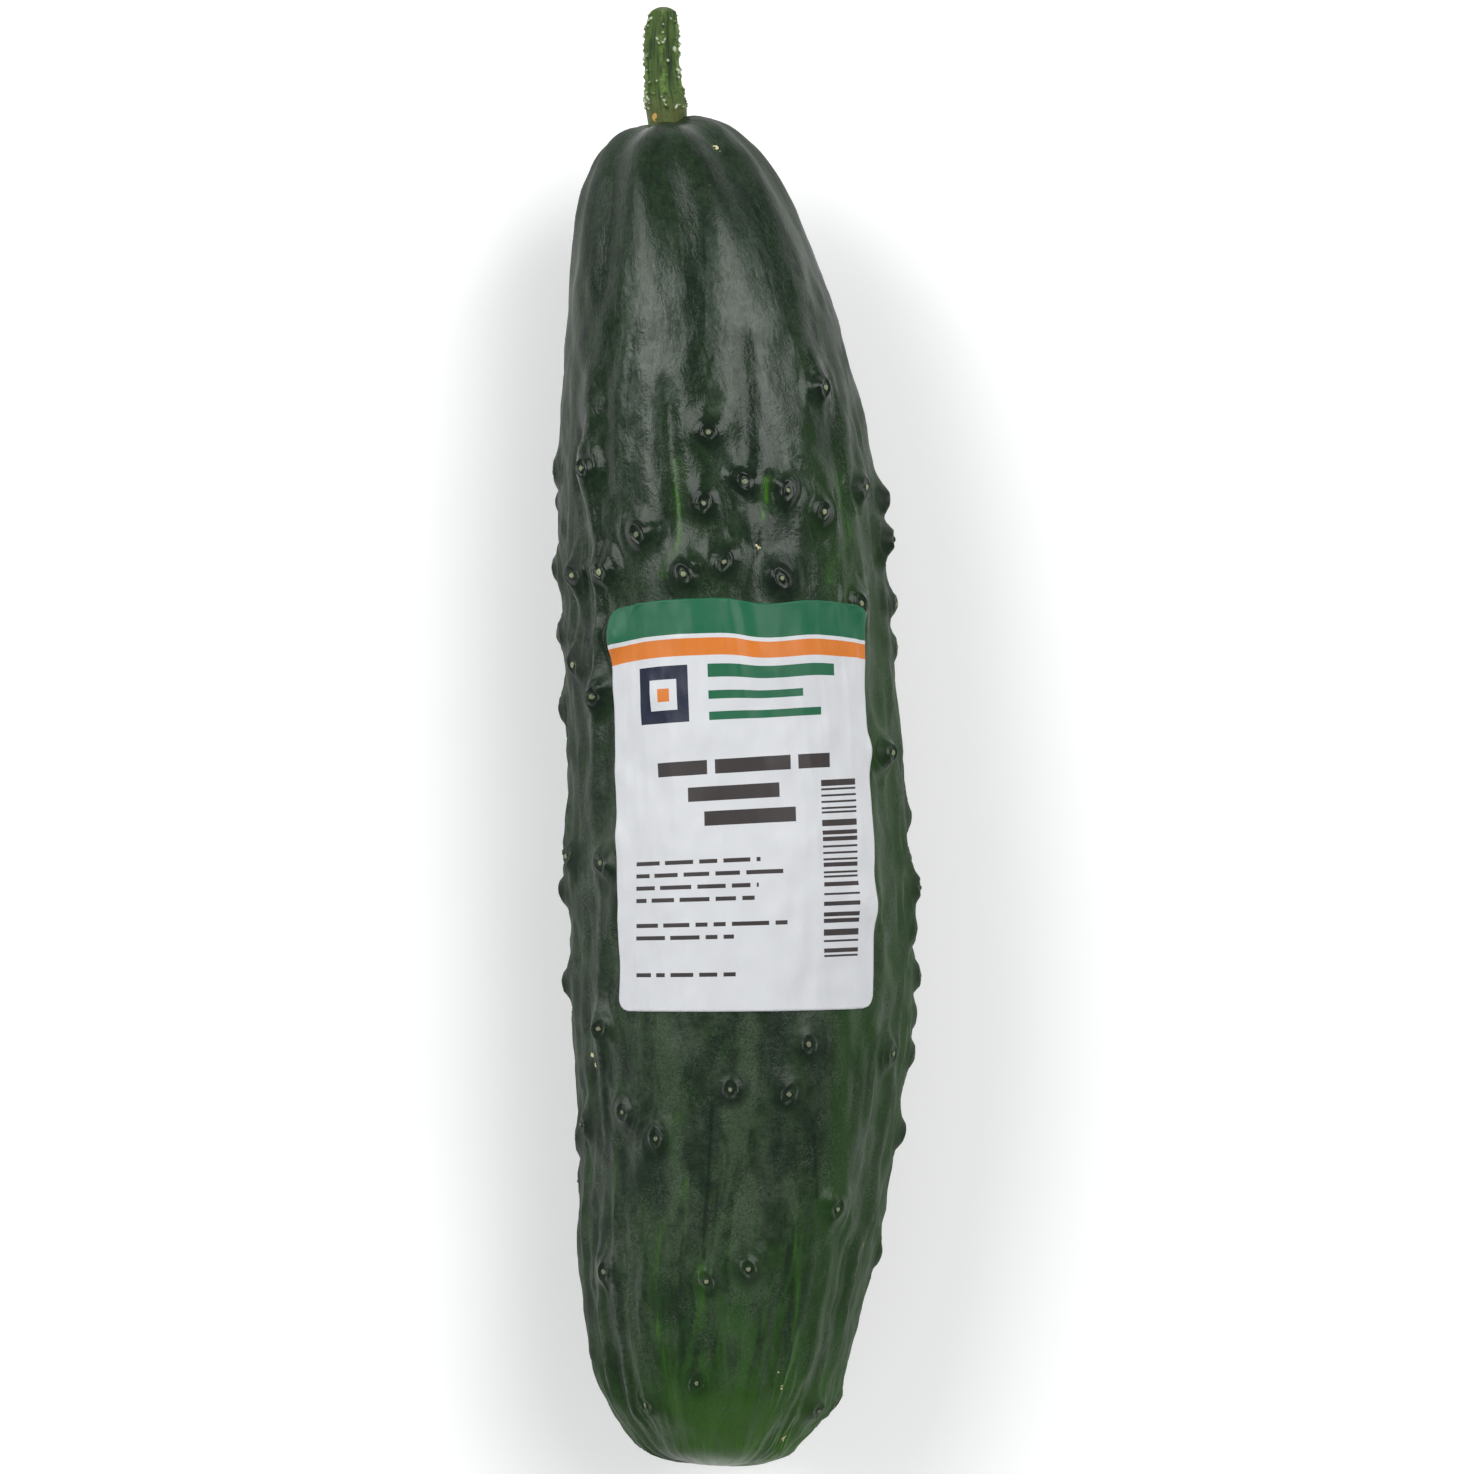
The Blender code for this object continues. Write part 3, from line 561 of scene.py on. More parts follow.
# Green stalk, lighter on its ribs, with a brownish foot, nearly white bristles and a dry fleck
STEM_LOOK = Look(
    STEM_DARK,
    layers=(
        (STEM_GREEN, Ramp("streaks", 0.36, 0.6)),
        (STEM_LIGHT, Ramp("rib", 0.1, 1.0), Ramp("spots", 0.3, 0.6), Ramp("blotches", 0.35, 0.6)),
        (STEM_BROWN, Ramp("above_crown_mm", 2.6, -0.6, 0.0, 0.85), Ramp("blotches", 0.3, 0.6)),
        (STEM_CUT, "cut", 0.8),
        (STEM_WHITE, Ramp("bristle", -0.03, 0.07)),
        (STEM_FLECK, Ramp("fleck", -0.05, 0.15)),
    ),
    sources={
        "streaks": Grown(6.0, 0.16, 5.0, 0.5),
        "fibres": Grown(14.0, 0.5, 4.0, 0.2),
        "blotches": Grain(480.0, 4.0, 0.5),
        "spots": Grain(1500.0, 3.0),
        "bristle": ["bristle_mm", Ramp("spots", 0.3, 0.7, -0.1, 0.05)],
        "fleck": ["fleck_mm", Ramp("spots", 0.3, 0.7, -0.45, 0.1)],
    },
    roughness=Ramp("spots", 0.3, 0.7, 0.42, 0.65),
    relief=["fibres", Product("spots", 0.5)],
    bump=0.14 * MM,
    ior=1.3,
)

# What all inks have in common. Their roughness sways with the mottling.
INK_SOURCES = {
    "mottle": Grain(160.0, 4.0),
    "grain": Grain(2600.0, 2.0),
    "wear": [Ramp("mottle", 0.35, 0.7, 0.0, 0.6), Product("grain", 0.4)],
}
INK_MOTTLE = (0.3, 0.7)
INK_SWAY = (-0.05, 0.08)
INK_BUMP = 0.012 * MM
INK_IOR = 1.33


def hermite(stations, values, x):
    """Read a smooth curve through the values."""
    slopes = np.gradient(values, stations)
    i = np.clip(np.searchsorted(stations, x) - 1, 0, len(stations) - 2)
    span = stations[i + 1] - stations[i]
    u = np.clip((x - stations[i]) / span, 0, 1)
    start = (1 + 2 * u) * (1 - u) ** 2 * values[i] + u * (1 - u) ** 2 * span * slopes[i]
    end = u * u * (3 - 2 * u) * values[i + 1] + u * u * (u - 1) * span * slopes[i + 1]
    return start + end


def smooth_curve(points_mm, column, x):
    """Read a smooth curve through one column of a table, at x in metres."""
    table = np.array(points_mm) * MM
    return hermite(table[:, 0], table[:, column], x)


def smooth_step(low, high, x):
    """From 0 at low to 1 at high, without corners."""
    share = np.clip((x - low) / (high - low), 0, 1)
    return share * share * (3 - 2 * share)


def cap(distance, reach):
    """A smooth round bump of height 1 that ends at its reach."""
    return np.maximum(1 - (distance / reach) ** 2, 0) ** 2


def dome(distance, reach):
    """A bump of height 1 with a flat top and steep sides."""
    return np.maximum(1 - (distance / reach) ** 3, 0) ** 1.5


def unit(vectors):
    """The directions of vectors."""
    return vectors / np.linalg.norm(vectors, axis=-1, keepdims=True)


def wrapped(turn):
    """An angle from half a turn back to half a turn forward."""
    return (turn + math.pi) % (2 * math.pi) - math.pi


def body_radius(station):
    """Radius of the fruit. Its square is what is curved smoothly, so that both ends are round."""
    stations, radii = np.array(PROFILE_MM).T * MM
    return np.sqrt(np.maximum(hermite(stations, radii ** 2, station), 0))


def axis_point(station):
    """Middle of the fruit's section at a station."""
    across = smooth_curve(AXIS_MM, 1, station)
    height = smooth_curve(AXIS_MM, 2, station) + AXIS_HEIGHT
    return np.stack([across, station - MIDDLE_STATION, height], axis=-1)


def axis_direction(station):
    """Unit direction of the axis towards the stem."""
    low = np.clip(station - MM, 0, FRUIT_LENGTH)
    high = np.clip(station + MM, 0, FRUIT_LENGTH)
    return unit(axis_point(high) - axis_point(low))


def rib_relief(station, angle):
    """Height of ribs and of the three broad lobes over the round body."""
    shoulder = np.exp(-((station - RIB_SHOULDER_STATION) / RIB_SHOULDER_REACH) ** 2)
    rib = (RIB_BELLY + RIB_SHOULDER * shoulder) * np.cos(RIB_COUNT * (angle - RIB_TURN))
    return rib + LOBE_HEIGHT * np.cos(LOBE_COUNT * (angle - LOBE_TURN))


def end_shift(station, angle, radius):
    """Shift along the axis that makes the blossom-end dimple and the hollow round the stem."""
    dimple = DIMPLE_DEPTH * np.exp(-(radius / DIMPLE_RADIUS) ** 2)
    hollow = -CROWN_DEPTH * np.exp(-(radius / CROWN_RADIUS) ** 2)
    ring = np.exp(-((radius - CROWN_LOBE_RADIUS) / CROWN_RADIUS) ** 2)
    lobes = CROWN_LOBE * ring * np.cos(CROWN_LOBE_COUNT * angle)
    return np.where(station < FRUIT_LENGTH / 2, dimple, hollow + lobes)


def bare_skin(station, angle):
    """Points of the fruit's skin before any wart is raised on it."""
    round_radius = body_radius(station)
    swell = np.minimum(round_radius / RIB_FADE_RADIUS, 1)
    radius = round_radius + rib_relief(station, angle) * swell
    along = axis_direction(station)
    right = unit(np.cross(along, [0, 0, 1]))
    up = np.cross(right, along)
    outward = right * np.sin(angle)[..., None] + up * np.cos(angle)[..., None]
    shift = end_shift(station, angle, round_radius)
    return axis_point(station) + outward * radius[..., None] + along * shift[..., None]


def skin_point(station, angle):
    """One point of the bare skin."""
    return bare_skin(np.array([station]), np.array([angle]))[0]


class Surface:
    """Places on the bare skin, with the directions along the fruit, sideways and outward."""

    def __init__(self, station, angle):
        """Work out the points and directions at stations and angles."""
        self.station = station
        self.angle = angle
        self.radius = body_radius(station)
        self.points = bare_skin(station, angle)
        self.along = axis_direction(station)
        inner = np.clip(station, POLE_MARGIN, FRUIT_LENGTH - POLE_MARGIN)
        low = np.maximum(inner - STEP, EDGE_STATION)
        high = np.minimum(inner + STEP, FRUIT_LENGTH - EDGE_STATION)
        towards_stem = bare_skin(high, angle) - bare_skin(low, angle)
        turned = bare_skin(inner, angle + TURN_STEP) - bare_skin(inner, angle - TURN_STEP)
        self.sideways = unit(turned)
        self.outward = unit(np.cross(self.sideways, towards_stem))

    def near(self, station, angle):
        """Which places are near a spot, and how far along and to its side they lie."""
        offset = self.points - skin_point(station, angle)
        near = np.flatnonzero(np.einsum("ij,ij->i", offset, offset) < (2 * MOUND_RADIUS) ** 2)
        offset = offset[near]
        lengthwise = np.einsum("ij,ij->i", offset, self.along[near])
        crosswise = np.einsum("ij,ij->i", offset, self.sideways[near])
        flat_distance = np.maximum(np.hypot(lengthwise, crosswise), EDGE_STATION)
        spread = np.linalg.norm(offset, axis=1) / flat_distance
        return near, lengthwise * spread, crosswise * spread

    def beside(self, line):
        """Distance to the side of a line, and how much of the line is there."""
        turn = wrapped(self.angle - hermite(line.stations, line.angles, self.station))
        first, last = line.stations[[0, -1]]
        rise = smooth_step(first - line.end / 2, first + line.end / 2, self.station)
        fall = 1 - smooth_step(last - line.end / 2, last + line.end / 2, self.station)
        return turn * self.radius, rise * fall


def spot_from_above(distance_mm, across_mm, lift=0.0):
    """Station and angle of a spot on the upper side, from its place in the picture.

    Places are at the scale of the focus height, and what lies higher looks further from the
    middle. The sections lean with the axis, so the station is found in a few rounds.
    """
    distance = distance_mm * MM
    station = np.array([distance])
    angle = np.zeros(1)
    for _ in range(LEAN_ROUNDS):
        direction = axis_direction(station)[0]
        radius = body_radius(station) + lift
        above = AXIS_HEIGHT + radius * np.cos(angle) - FOCUS_HEIGHT
        shrink = 1 - above / CAMERA_DISTANCE
        reach = radius * math.sin(EDGE_ANGLE)
        from_axis = across_mm * MM * shrink - smooth_curve(AXIS_MM, 1, station)
        from_axis = np.clip(from_axis, -reach, reach)
        angle = np.arcsin(from_axis / radius)
        lean = from_axis * direction[0] + radius * np.cos(angle) * direction[2]
        middle = MIDDLE_STATION + (distance - MIDDLE_STATION) * shrink
        station = middle + lean / direction[1]
    return float(station[0]), float(angle[0])


def seen_warts(draw):
    """Warts of the upper side and of the outline, the latter a little above or below it."""
    warts = [
        (*spot_from_above(distance, across, size * WART_LIFT), size)
        for distance, across, size in UPPER_WARTS_MM
    ]
    edges = ((-EDGE_REACH_MM, LEFT_EDGE_WARTS_MM), (EDGE_REACH_MM, RIGHT_EDGE_WARTS_MM))
    for side, row in edges:
        for distance, size in row:
            station, angle = spot_from_above(distance, side)
            warts.append((station, angle + draw.uniform(-EDGE_SWAY, EDGE_SWAY), size))
    return warts


def under_warts(draw):
    """Warts on the under side: rows along the ribs, spaced by a seeded draw."""
    warts = []
    for row in UNDER_ROWS:
        station = UNDER_FIRST + draw.uniform(0, UNDER_STEP[0])
        while station < UNDER_LAST:
            angle = math.radians(row) + draw.uniform(-UNDER_SWAY, UNDER_SWAY)
            size = draw.uniform(*UNDER_SIZES)
            on_flat = abs(angle) > FLAT_ZONE_ANGLE and FLAT_ZONE[0] < station < FLAT_ZONE[1]
            if not on_flat:
                warts.append((station, angle, size))
            station += draw.uniform(*UNDER_STEP)
    return warts


def mound_share(station, angle):
    """How high the mound of a wart is, as a share of a full one."""
    up = 1 - smooth_step(*MOUND_ANGLES, abs(angle))
    blossom = 1 - smooth_step(*MOUND_STATIONS, station)
    return 1 - (1 - LOW_MOUND) * up * (LOW_AT_STEM + (1 - LOW_AT_STEM) * blossom)


def all_warts():
    """Every wart, with its own hood, skew and stretch, and the shade and radius of its scar."""
    draw = random.Random(WART_SEED)
    places = seen_warts(draw) + under_warts(draw)
    style = random.Random(STYLE_SEED)
    warts = []
    for station, angle, size in places:
        hood = style.uniform(*RIM_HOODS)
        skew = style.uniform(*RIM_SKEWS)
        stretch = style.uniform(*RIM_STRETCHES)
        mound = mound_share(station, angle)
        clear = smooth_step(*DULL_STATIONS, station)
        shade = style.random() * (DULL_SHARE + (1 - DULL_SHARE) * clear)
        scar = style.uniform(*SCAR_RADII) * (SMALL_SHARE + (1 - SMALL_SHARE) * clear)
        warts.append(Wart(station, angle, size, mound, hood, skew, stretch, shade, scar))
    return warts


def rim_share(along, across, wart):
    """Distance from the middle of a wart's crater, as a share of the distance to its rim."""
    side = np.abs(across - wart.skew * along) / RIM_HALF_WIDTH
    length = along / (RIM_HALF_LENGTH * wart.stretch)
    return np.sqrt(side ** (2 - RIM_POINT * wart.hood) + length ** 2)


def rim_crest(along, across, wart):
    """1 on the crest of a crater's rim at its sides, less at its ends, and 0 off the rim."""
    side = np.abs(across) / (np.hypot(along, across) + EDGE_STATION)
    ridge = np.exp(-((rim_share(along, across, wart) - 1) / RIM_RIDGE) ** 2)
    return ridge * (RIM_ENDS + (1 - RIM_ENDS) * side ** 2)


def wart_height(along, across, wart):
    """Height of one wart, with along towards the stem and across to its side of the scar."""
    mound = wart.mound * MOUND_HEIGHT * cap(np.hypot(along - TIP_LEAN, across), MOUND_RADIUS)
    share = rim_share(along, across, wart)
    tip = TIP_HEIGHT * (LOW_TIP + (1 - LOW_TIP) * wart.mound) * dome(share, TIP_REACH)
    rim = RIM_HEIGHT * rim_crest(along, across, wart)
    crater = -CRATER_DEPTH * (1 - smooth_step(*CRATER_EDGE, share))
    from_scar = np.hypot(along, across)
    scar = SCAR_HEIGHT * (1 - smooth_step(wart.scar - SCAR_EDGE, wart.scar + SCAR_EDGE, from_scar))
    pit = -SCAR_PIT_DEPTH * cap(from_scar, SCAR_PIT * wart.scar)
    return wart.size * (mound + tip + rim + crater) + scar + pit


def line_from_above(points_mm, end_mm):
    """A line through places in the picture, from the blossom end."""
    stations, angles = np.array(sorted(spot_from_above(*point) for point in points_mm)).T
    return Line(stations, angles, end_mm * MM)


def under_line(draw, middle, first, last, end):
    """A line under the fruit that sways about one angle."""
    stations = np.arange(first, last, UNDER_LINE_STEP)
    sway = [draw.uniform(-UNDER_LINE_SWAY, UNDER_LINE_SWAY) for _ in stations]
    return Line(stations, math.radians(middle) + np.array(sway), end)


def all_lines():
    """The lines of each kind: those measured in the picture, and folds and veins below."""
    lines = {
        kind: [line_from_above(points, end_mm) for points in table]
        for kind, (end_mm, table) in LINES_MM.items()
    }
    for fold in lines["fold"]:
        for _ in range(FOLD_SMOOTHING):
            neighbours = fold.angles[:-2] + fold.angles[2:]
            fold.angles[1:-1] = fold.angles[1:-1] / 2 + neighbours / 4
    fold_end = lines["fold"][0].end
    draw = random.Random(FOLD_SEED)
    for middle in UNDER_FOLDS:
        lines["fold"].append(under_line(draw, middle, *UNDER_FOLD_STATIONS, fold_end))
    vein_end = lines["vein"][0].end
    draw = random.Random(VEIN_SEED)
    for middle in UNDER_VEINS:
        first = draw.uniform(*UNDER_VEIN_FIRST_MM) * MM
        last = draw.uniform(*UNDER_VEIN_LAST_MM) * MM
        lines["vein"].append(under_line(draw, middle, first, last, vein_end))
    return lines


def fold_relief(surface, folds):
    """Height of the folds: crests with a narrow edge and a shallow valley at each side."""
    crest = np.zeros_like(surface.station)
    valley = np.zeros_like(surface.station)
    for fold in folds:
        offset, share = surface.beside(fold)
        phase = surface.station / FOLD_SWELL_REACH + FOLD_SWELL_SHIFT * fold.angles[0]
        height = FOLD_HEIGHT * (1 - FOLD_SWELL + FOLD_SWELL * np.sin(phase))
        slope = np.sqrt(offset ** 2 + FOLD_EDGE ** 2) - FOLD_EDGE
        crest = np.maximum(crest, height * share * np.exp(-slope / FOLD_WIDTH))
        beside = np.exp(-((np.abs(offset) - VALLEY_OFFSET) / VALLEY_WIDTH) ** 2)
        valley = np.maximum(valley, VALLEY_DEPTH * share * beside)
    return crest - valley


def groove_relief(surface, lines, depth, width):
    """Depth of rounded grooves along the lines, as a negative height."""
    relief = np.zeros_like(surface.station)
    for line in lines:
        offset, share = surface.beside(line)
        relief = np.minimum(relief, -depth * share * np.exp(-(offset / width) ** 2))
    return relief


def noise_at(places, seed):
    """Soft noise from about -1 to 1, with features about 1 wide."""
    return np.array([noise.noise(place) for place in (places + seed * SEED_STEP).tolist()])


def wave_relief(surface):
    """Height of the skin's soft, irregular waves, which are higher on its flanks."""
    flank = 1 + FLANK_WAVES * smooth_step(*FLANK_ANGLES, np.abs(surface.angle))
    waves = sum(height * noise_at(surface.points / sizes, seed) for height, sizes, seed in WAVES)
    return flank * waves


def flow_angle(surface, warts):
    """Angle of each point, changed so that lines of even angle bend round the warts."""
    turn = np.zeros_like(surface.angle)
    for wart in warts:
        near, length, cross = surface.near(wart.station, wart.angle)
        square = length ** 2 + cross ** 2
        share = FLOW_RADIUS ** 2 / np.maximum(square, FLOW_RADIUS ** 2)
        fade = np.maximum(1 - square / (2 * MOUND_RADIUS) ** 2, 0)
        turn[near] -= wart.size * share * fade * cross / surface.radius[near]
    return surface.angle + turn


def drape_relief(station, flow):
    """Height of sharp lengthwise crests, which are stronger on the flanks than on top."""
    relief = np.zeros_like(station)
    for height, round_size, long_size, seed in DRAPES:
        reach = body_radius(MIDDLE_STATION) / round_size
        places = [np.sin(flow) * reach, np.cos(flow) * reach, station / long_size]
        crest = 1 - 2 * np.abs(noise_at(np.stack(places, axis=-1), seed))
        relief += height * (np.maximum(crest, 0) ** 2 - DRAPE_BASE)
    flank = smooth_step(*FLANK_ANGLES, np.abs(flow))
    return relief * smooth_step(*DRAPE_STATIONS, station) * (DRAPE_TOP + (1 - DRAPE_TOP) * flank)


def fine_relief(surface, warts, lines):
    """Height of warts, side bumps, folds, creases and waves over the bare skin."""
    calm = smooth_step(0, POLE_CALM_RADIUS, surface.radius)
    calm *= 1 - CROWN_CALM * smooth_step(*CROWN_STATIONS, surface.station)
    drapes = drape_relief(surface.station, flow_angle(surface, warts))
    relief = (wave_relief(surface) + drapes) * calm - SINK
    relief += fold_relief(surface, lines["fold"])
    relief += groove_relief(surface, lines["crease"], CREASE_DEPTH, CREASE_WIDTH)
    relief += groove_relief(surface, lines["hollow"], HOLLOW_DEPTH, HOLLOW_WIDTH)
    for wart in warts:
        near, length, cross = surface.near(wart.station, wart.angle)
        relief[near] += wart_height(length, cross, wart)
    for place in SIDE_BUMPS_MM:
        near, length, cross = surface.near(*spot_from_above(*place))
        relief[near] += SIDE_BUMP_HEIGHT * cap(np.hypot(length, cross), SIDE_BUMP_RADIUS)
    return relief


def new_sphere(around, along):
    """A unit sphere with its poles at the lower and upper end."""
    bm = bmesh.new()
    bmesh.ops.create_uvsphere(bm, u_segments=around, v_segments=along, radius=1)
    return bm


def sphere_places(bm):
    """Polar fraction from the lower pole and angle from +X of every vertex of a sphere."""
    for vertex in bm.verts:
        vertex.co.normalize()
    coords = np.array([vertex.co[:] for vertex in bm.verts])
    polar = 1 - np.arccos(np.clip(coords[:, 2], -1, 1)) / math.pi
    return polar, np.arctan2(coords[:, 1], coords[:, 0])


def arc_stations():
    """Stations that are evenly spaced along the skin, from the blossom end to the crown."""
    turns = np.linspace(0, math.pi, 2 * SAMPLES)
    stations = FRUIT_LENGTH * (1 - np.cos(turns)) / 2
    steps = np.hypot(np.diff(stations), np.diff(body_radius(stations)))
    lengths = np.concatenate([[0], np.cumsum(steps)])
    return np.interp(np.linspace(0, lengths[-1], SAMPLES), lengths, stations)


def fruit_places(bm):
    """Station and angle on the fruit of every vertex of the sphere that it is made from."""
    polar, angle = sphere_places(bm)
    station = np.interp(polar, np.linspace(0, 1, SAMPLES), arc_stations())
    return np.clip(station, EDGE_STATION, FRUIT_LENGTH - EDGE_STATION), angle


def refine_near(bm, spots, reach):
    """Halve the faces that lie within reach of a spot."""
    bm.faces.index_update()
    points = bare_skin(*fruit_places(bm))
    middles = np.array([points[[v.index for v in face.verts]].mean(axis=0) for face in bm.faces])
    near = np.zeros(len(middles), dtype=bool)
    for spot in spots:
        near |= np.linalg.norm(middles - skin_point(*spot), axis=1) < reach
    edges = [edge for edge in bm.edges if any(near[face.index] for face in edge.link_faces)]
    bmesh.ops.subdivide_edges(bm, edges=edges, cuts=1, use_grid_fill=True)
    bm.verts.index_update()


def wart_measures(surface, warts):
    """Distances to the middle and edge of the nearest scar, its shade, and the crests of rims."""
    nearest = np.full_like(surface.station, FAR)
    edge = np.full_like(surface.station, FAR)
    shade = np.zeros_like(surface.station)
    rim = np.zeros_like(surface.station)
    for wart in warts:
        near, length, cross = surface.near(wart.station, wart.angle)
        distance = np.hypot(length, cross)
        closer = distance < nearest[near]
        nearest[near[closer]] = distance[closer]
        edge[near[closer]] = distance[closer] - wart.scar
        shade[near[closer]] = wart.shade
        rim[near] = np.maximum(rim[near], rim_crest(length, cross, wart))
    return {"tip_mm": nearest, "scar_mm": edge, "shade": shade, "rim": rim}


def line_distances(surface, lines):
    """Distance from each point to the nearest line, growing where the lines run out."""
    nearest = np.full_like(surface.station, FAR)
    for line in lines:
        offset, share = surface.beside(line)
        nearest = np.minimum(nearest, np.abs(offset) + FAR * (1 - share))
    return nearest


def fleck_depths(surface):
    """How far inside a cream fleck each point lies, negative outside."""
    depth = np.full_like(surface.station, -FAR)
    for distance, across, radius in FLECKS_MM:
        offset = surface.points - skin_point(*spot_from_above(distance, across))
        depth = np.maximum(depth, radius * MM - np.linalg.norm(offset, axis=1))
    return depth


def store(mesh, measures):
    """Store numbers and vectors on the vertices, where names that end in mm are for lengths."""
    for name, values in measures.items():
        kind, key = ("FLOAT", "value") if values.ndim == 1 else ("FLOAT_VECTOR", "vector")
        scaled = values / MM if name.endswith("_mm") else values
        attribute = mesh.attributes.new(name, kind, "POINT")
        attribute.data.foreach_set(key, scaled.astype(np.float32).ravel())


def new_piece(name, mesh, *materials):
    """Link a mesh to the scene as a named object with its materials."""
    for material in materials:
        mesh.materials.append(material)
    piece = bpy.data.objects.new(name, mesh)
    bpy.context.scene.collection.objects.link(piece)
    return piece


def mesh_from(name, bm, points):
    """Turn a bmesh into a smooth-shaded mesh with its vertices at the points."""
    for vertex, point in zip(bm.verts, points):
        vertex.co = point
    mesh = bpy.data.meshes.new(name)
    bm.to_mesh(mesh)
    bm.free()
    mesh.shade_smooth()
    return mesh


def build_fruit(warts, lines):
    """The fruit in fine detail, on its flat spot, with what its material reads."""
    bm = new_sphere(FRUIT_AROUND, FRUIT_ALONG)
    spots = [(wart.station, wart.angle) for wart in warts]
    spots += [spot_from_above(distance, across) for distance, across, _ in FLECKS_MM]
    for reach in REFINE_REACHES:
        refine_near(bm, spots, reach)
    surface = Surface(*fruit_places(bm))
    relief = fine_relief(surface, warts, lines)
    points = surface.points + surface.outward * relief[:, None]
    points[:, 2] = np.maximum(points[:, 2], 0)
    mesh = mesh_from("cucumber_skin", bm, points)
    flow = flow_angle(surface, warts)
    place = [np.sin(flow), np.cos(flow), surface.station / FRUIT_LENGTH]
    store(mesh, wart_measures(surface, warts))
    store(mesh, {kind + "_mm": line_distances(surface, lines[kind]) for kind in PAINTED_LINES})
    store(mesh, {
        "pole_mm": np.where(surface.station < FRUIT_LENGTH / 2, surface.radius, FAR),
        "fleck_mm": fleck_depths(surface),
        "place": np.stack(place, axis=-1),
    })
    return new_piece("cucumber_skin", mesh, look_material("cucumber_skin", SKIN_LOOK))


def stem_bristles():
    """Bristly bumps on the stem, by a seeded draw."""
    draw = random.Random(BUMP_SEED)
    bristles = []
    for _ in range(BUMP_COUNT):
        station = draw.uniform(BUMP_FIRST, STEM_TOP - BUMP_TOP_MARGIN)
        angle = draw.uniform(-math.pi, math.pi)
        shape = [
            draw.uniform(*limits)
            for limits in (BUMP_HEIGHTS, BRISTLE_RADII, BRISTLE_STRETCHES, BRISTLE_SLANTS)
        ]
        bristles.append(Bristle(station, angle, *shape))
    return bristles


def stem_surface(station, angle):
    """Radius of the ribbed stem with its bristles, and how far inside a bristle each point is."""
    rib_share = np.clip((station - BUMP_FIRST) / STEM_RIB_START, 0, 1)
    rib = STEM_RIB_HEIGHT * rib_share * np.cos(STEM_RIB_COUNT * angle)
    core = smooth_curve(STEM_MM, 1, station) + rib
    radius = core.copy()
    depth = np.full_like(station, -FAR)
    for bristle in stem_bristles():
        along = station - bristle.station
        across = wrapped(angle - bristle.angle) * core
        from_bristle = np.hypot(along / bristle.stretch, across - bristle.slant * along)
        radius += bristle.height * cap(np.hypot(along, across), BUMP_RADIUS)
        radius += BRISTLE_HEIGHT * cap(from_bristle, bristle.radius)
        depth = np.maximum(depth, bristle.radius - from_bristle)
    return radius, depth


def stem_fleck_depths(points):
    """How far inside the dry fleck each point of the stem's upper side lies."""
    distance, across, radius = (length * MM for length in STEM_FLECK_MM)
    along = points[:, 1] + MIDDLE_STATION - distance
    from_fleck = np.hypot(along, points[:, 0] - across)
    return np.where(points[:, 2] > AXIS_HEIGHT, radius - from_fleck, -radius)


def build_stem():
    """The cut stem: ribbed, with pale-tipped bristles and an uneven cut end."""
    bm = new_sphere(STEM_AROUND, STEM_ALONG)
    polar, angle = sphere_places(bm)
    upper = np.array([vertex.co.z > 0 for vertex in bm.verts])
    end_share = STEM_END_RINGS / STEM_ALONG
    along = np.clip((polar - end_share) / (1 - 2 * end_share), 0, 1)
    from_pole = np.clip(np.minimum(polar, 1 - polar) / end_share, 0, 1)
    station = STEM_FOOT + (STEM_TOP - STEM_FOOT) * along
    rounding = STEM_END_ROUNDING * (1 - from_pole ** 2) * np.where(upper, 1, -1)
    radius, depth = stem_surface(station, angle)
    right = smooth_curve(STEM_MM, 2, station) + radius * from_pole * np.sin(angle)
    height = AXIS_HEIGHT + STEM_LIFT + radius * from_pole * np.cos(angle)
    points = np.stack([right, station - MIDDLE_STATION + rounding, height], axis=-1)
    mesh = mesh_from("cucumber_stem", bm, points)
    store(mesh, {
        "bristle_mm": depth,
        "fleck_mm": stem_fleck_depths(points),
        "rib": np.cos(STEM_RIB_COUNT * angle),
        "above_crown_mm": station - BUMP_FIRST,
        "cut": (1 - from_pole) * upper,
        "place": np.stack([np.sin(angle), np.cos(angle), station / MM], axis=-1),
    })
    return new_piece("cucumber_stem", mesh, look_material("cucumber_stem", STEM_LOOK))


def label_place(across, along):
    """Station and angle of a spot of the label, from its middle."""
    from_end = LABEL_HEIGHT / 2 - np.abs(along)
    inset = np.clip(LABEL_CORNER - from_end, 0, LABEL_CORNER)
    corner = LABEL_CORNER - np.sqrt(LABEL_CORNER ** 2 - inset ** 2)
    across = across * (1 - corner / (LABEL_WIDTH / 2))
    near_top = smooth_step(LABEL_HEIGHT / 2 - LABEL_TOP_REACH, LABEL_HEIGHT / 2, along)
    rise = smooth_curve(LABEL_TOP_MM, 1, across) * near_top
    station = LABEL_STATION + along + rise - across * LABEL_SLOPE
    arc = LABEL_ARC + across + along * LABEL_TURN
    return station, arc / body_radius(station)


def wrinkle_height(across, along):
    """Height of the soft wrinkles in the upper part of the film."""
    height = np.zeros_like(across)
    for place, top, slant, width, rise in WRINKLES_MM:
        below = top * MM - along
        fade = np.exp(-(np.maximum(below, 0) / WRINKLE_LENGTH) ** 2) * (below > -width * MM)
        aside = across - place * MM - slant * below
        height += rise * MM * fade * np.exp(-(aside / (width * MM)) ** 2)
    return height


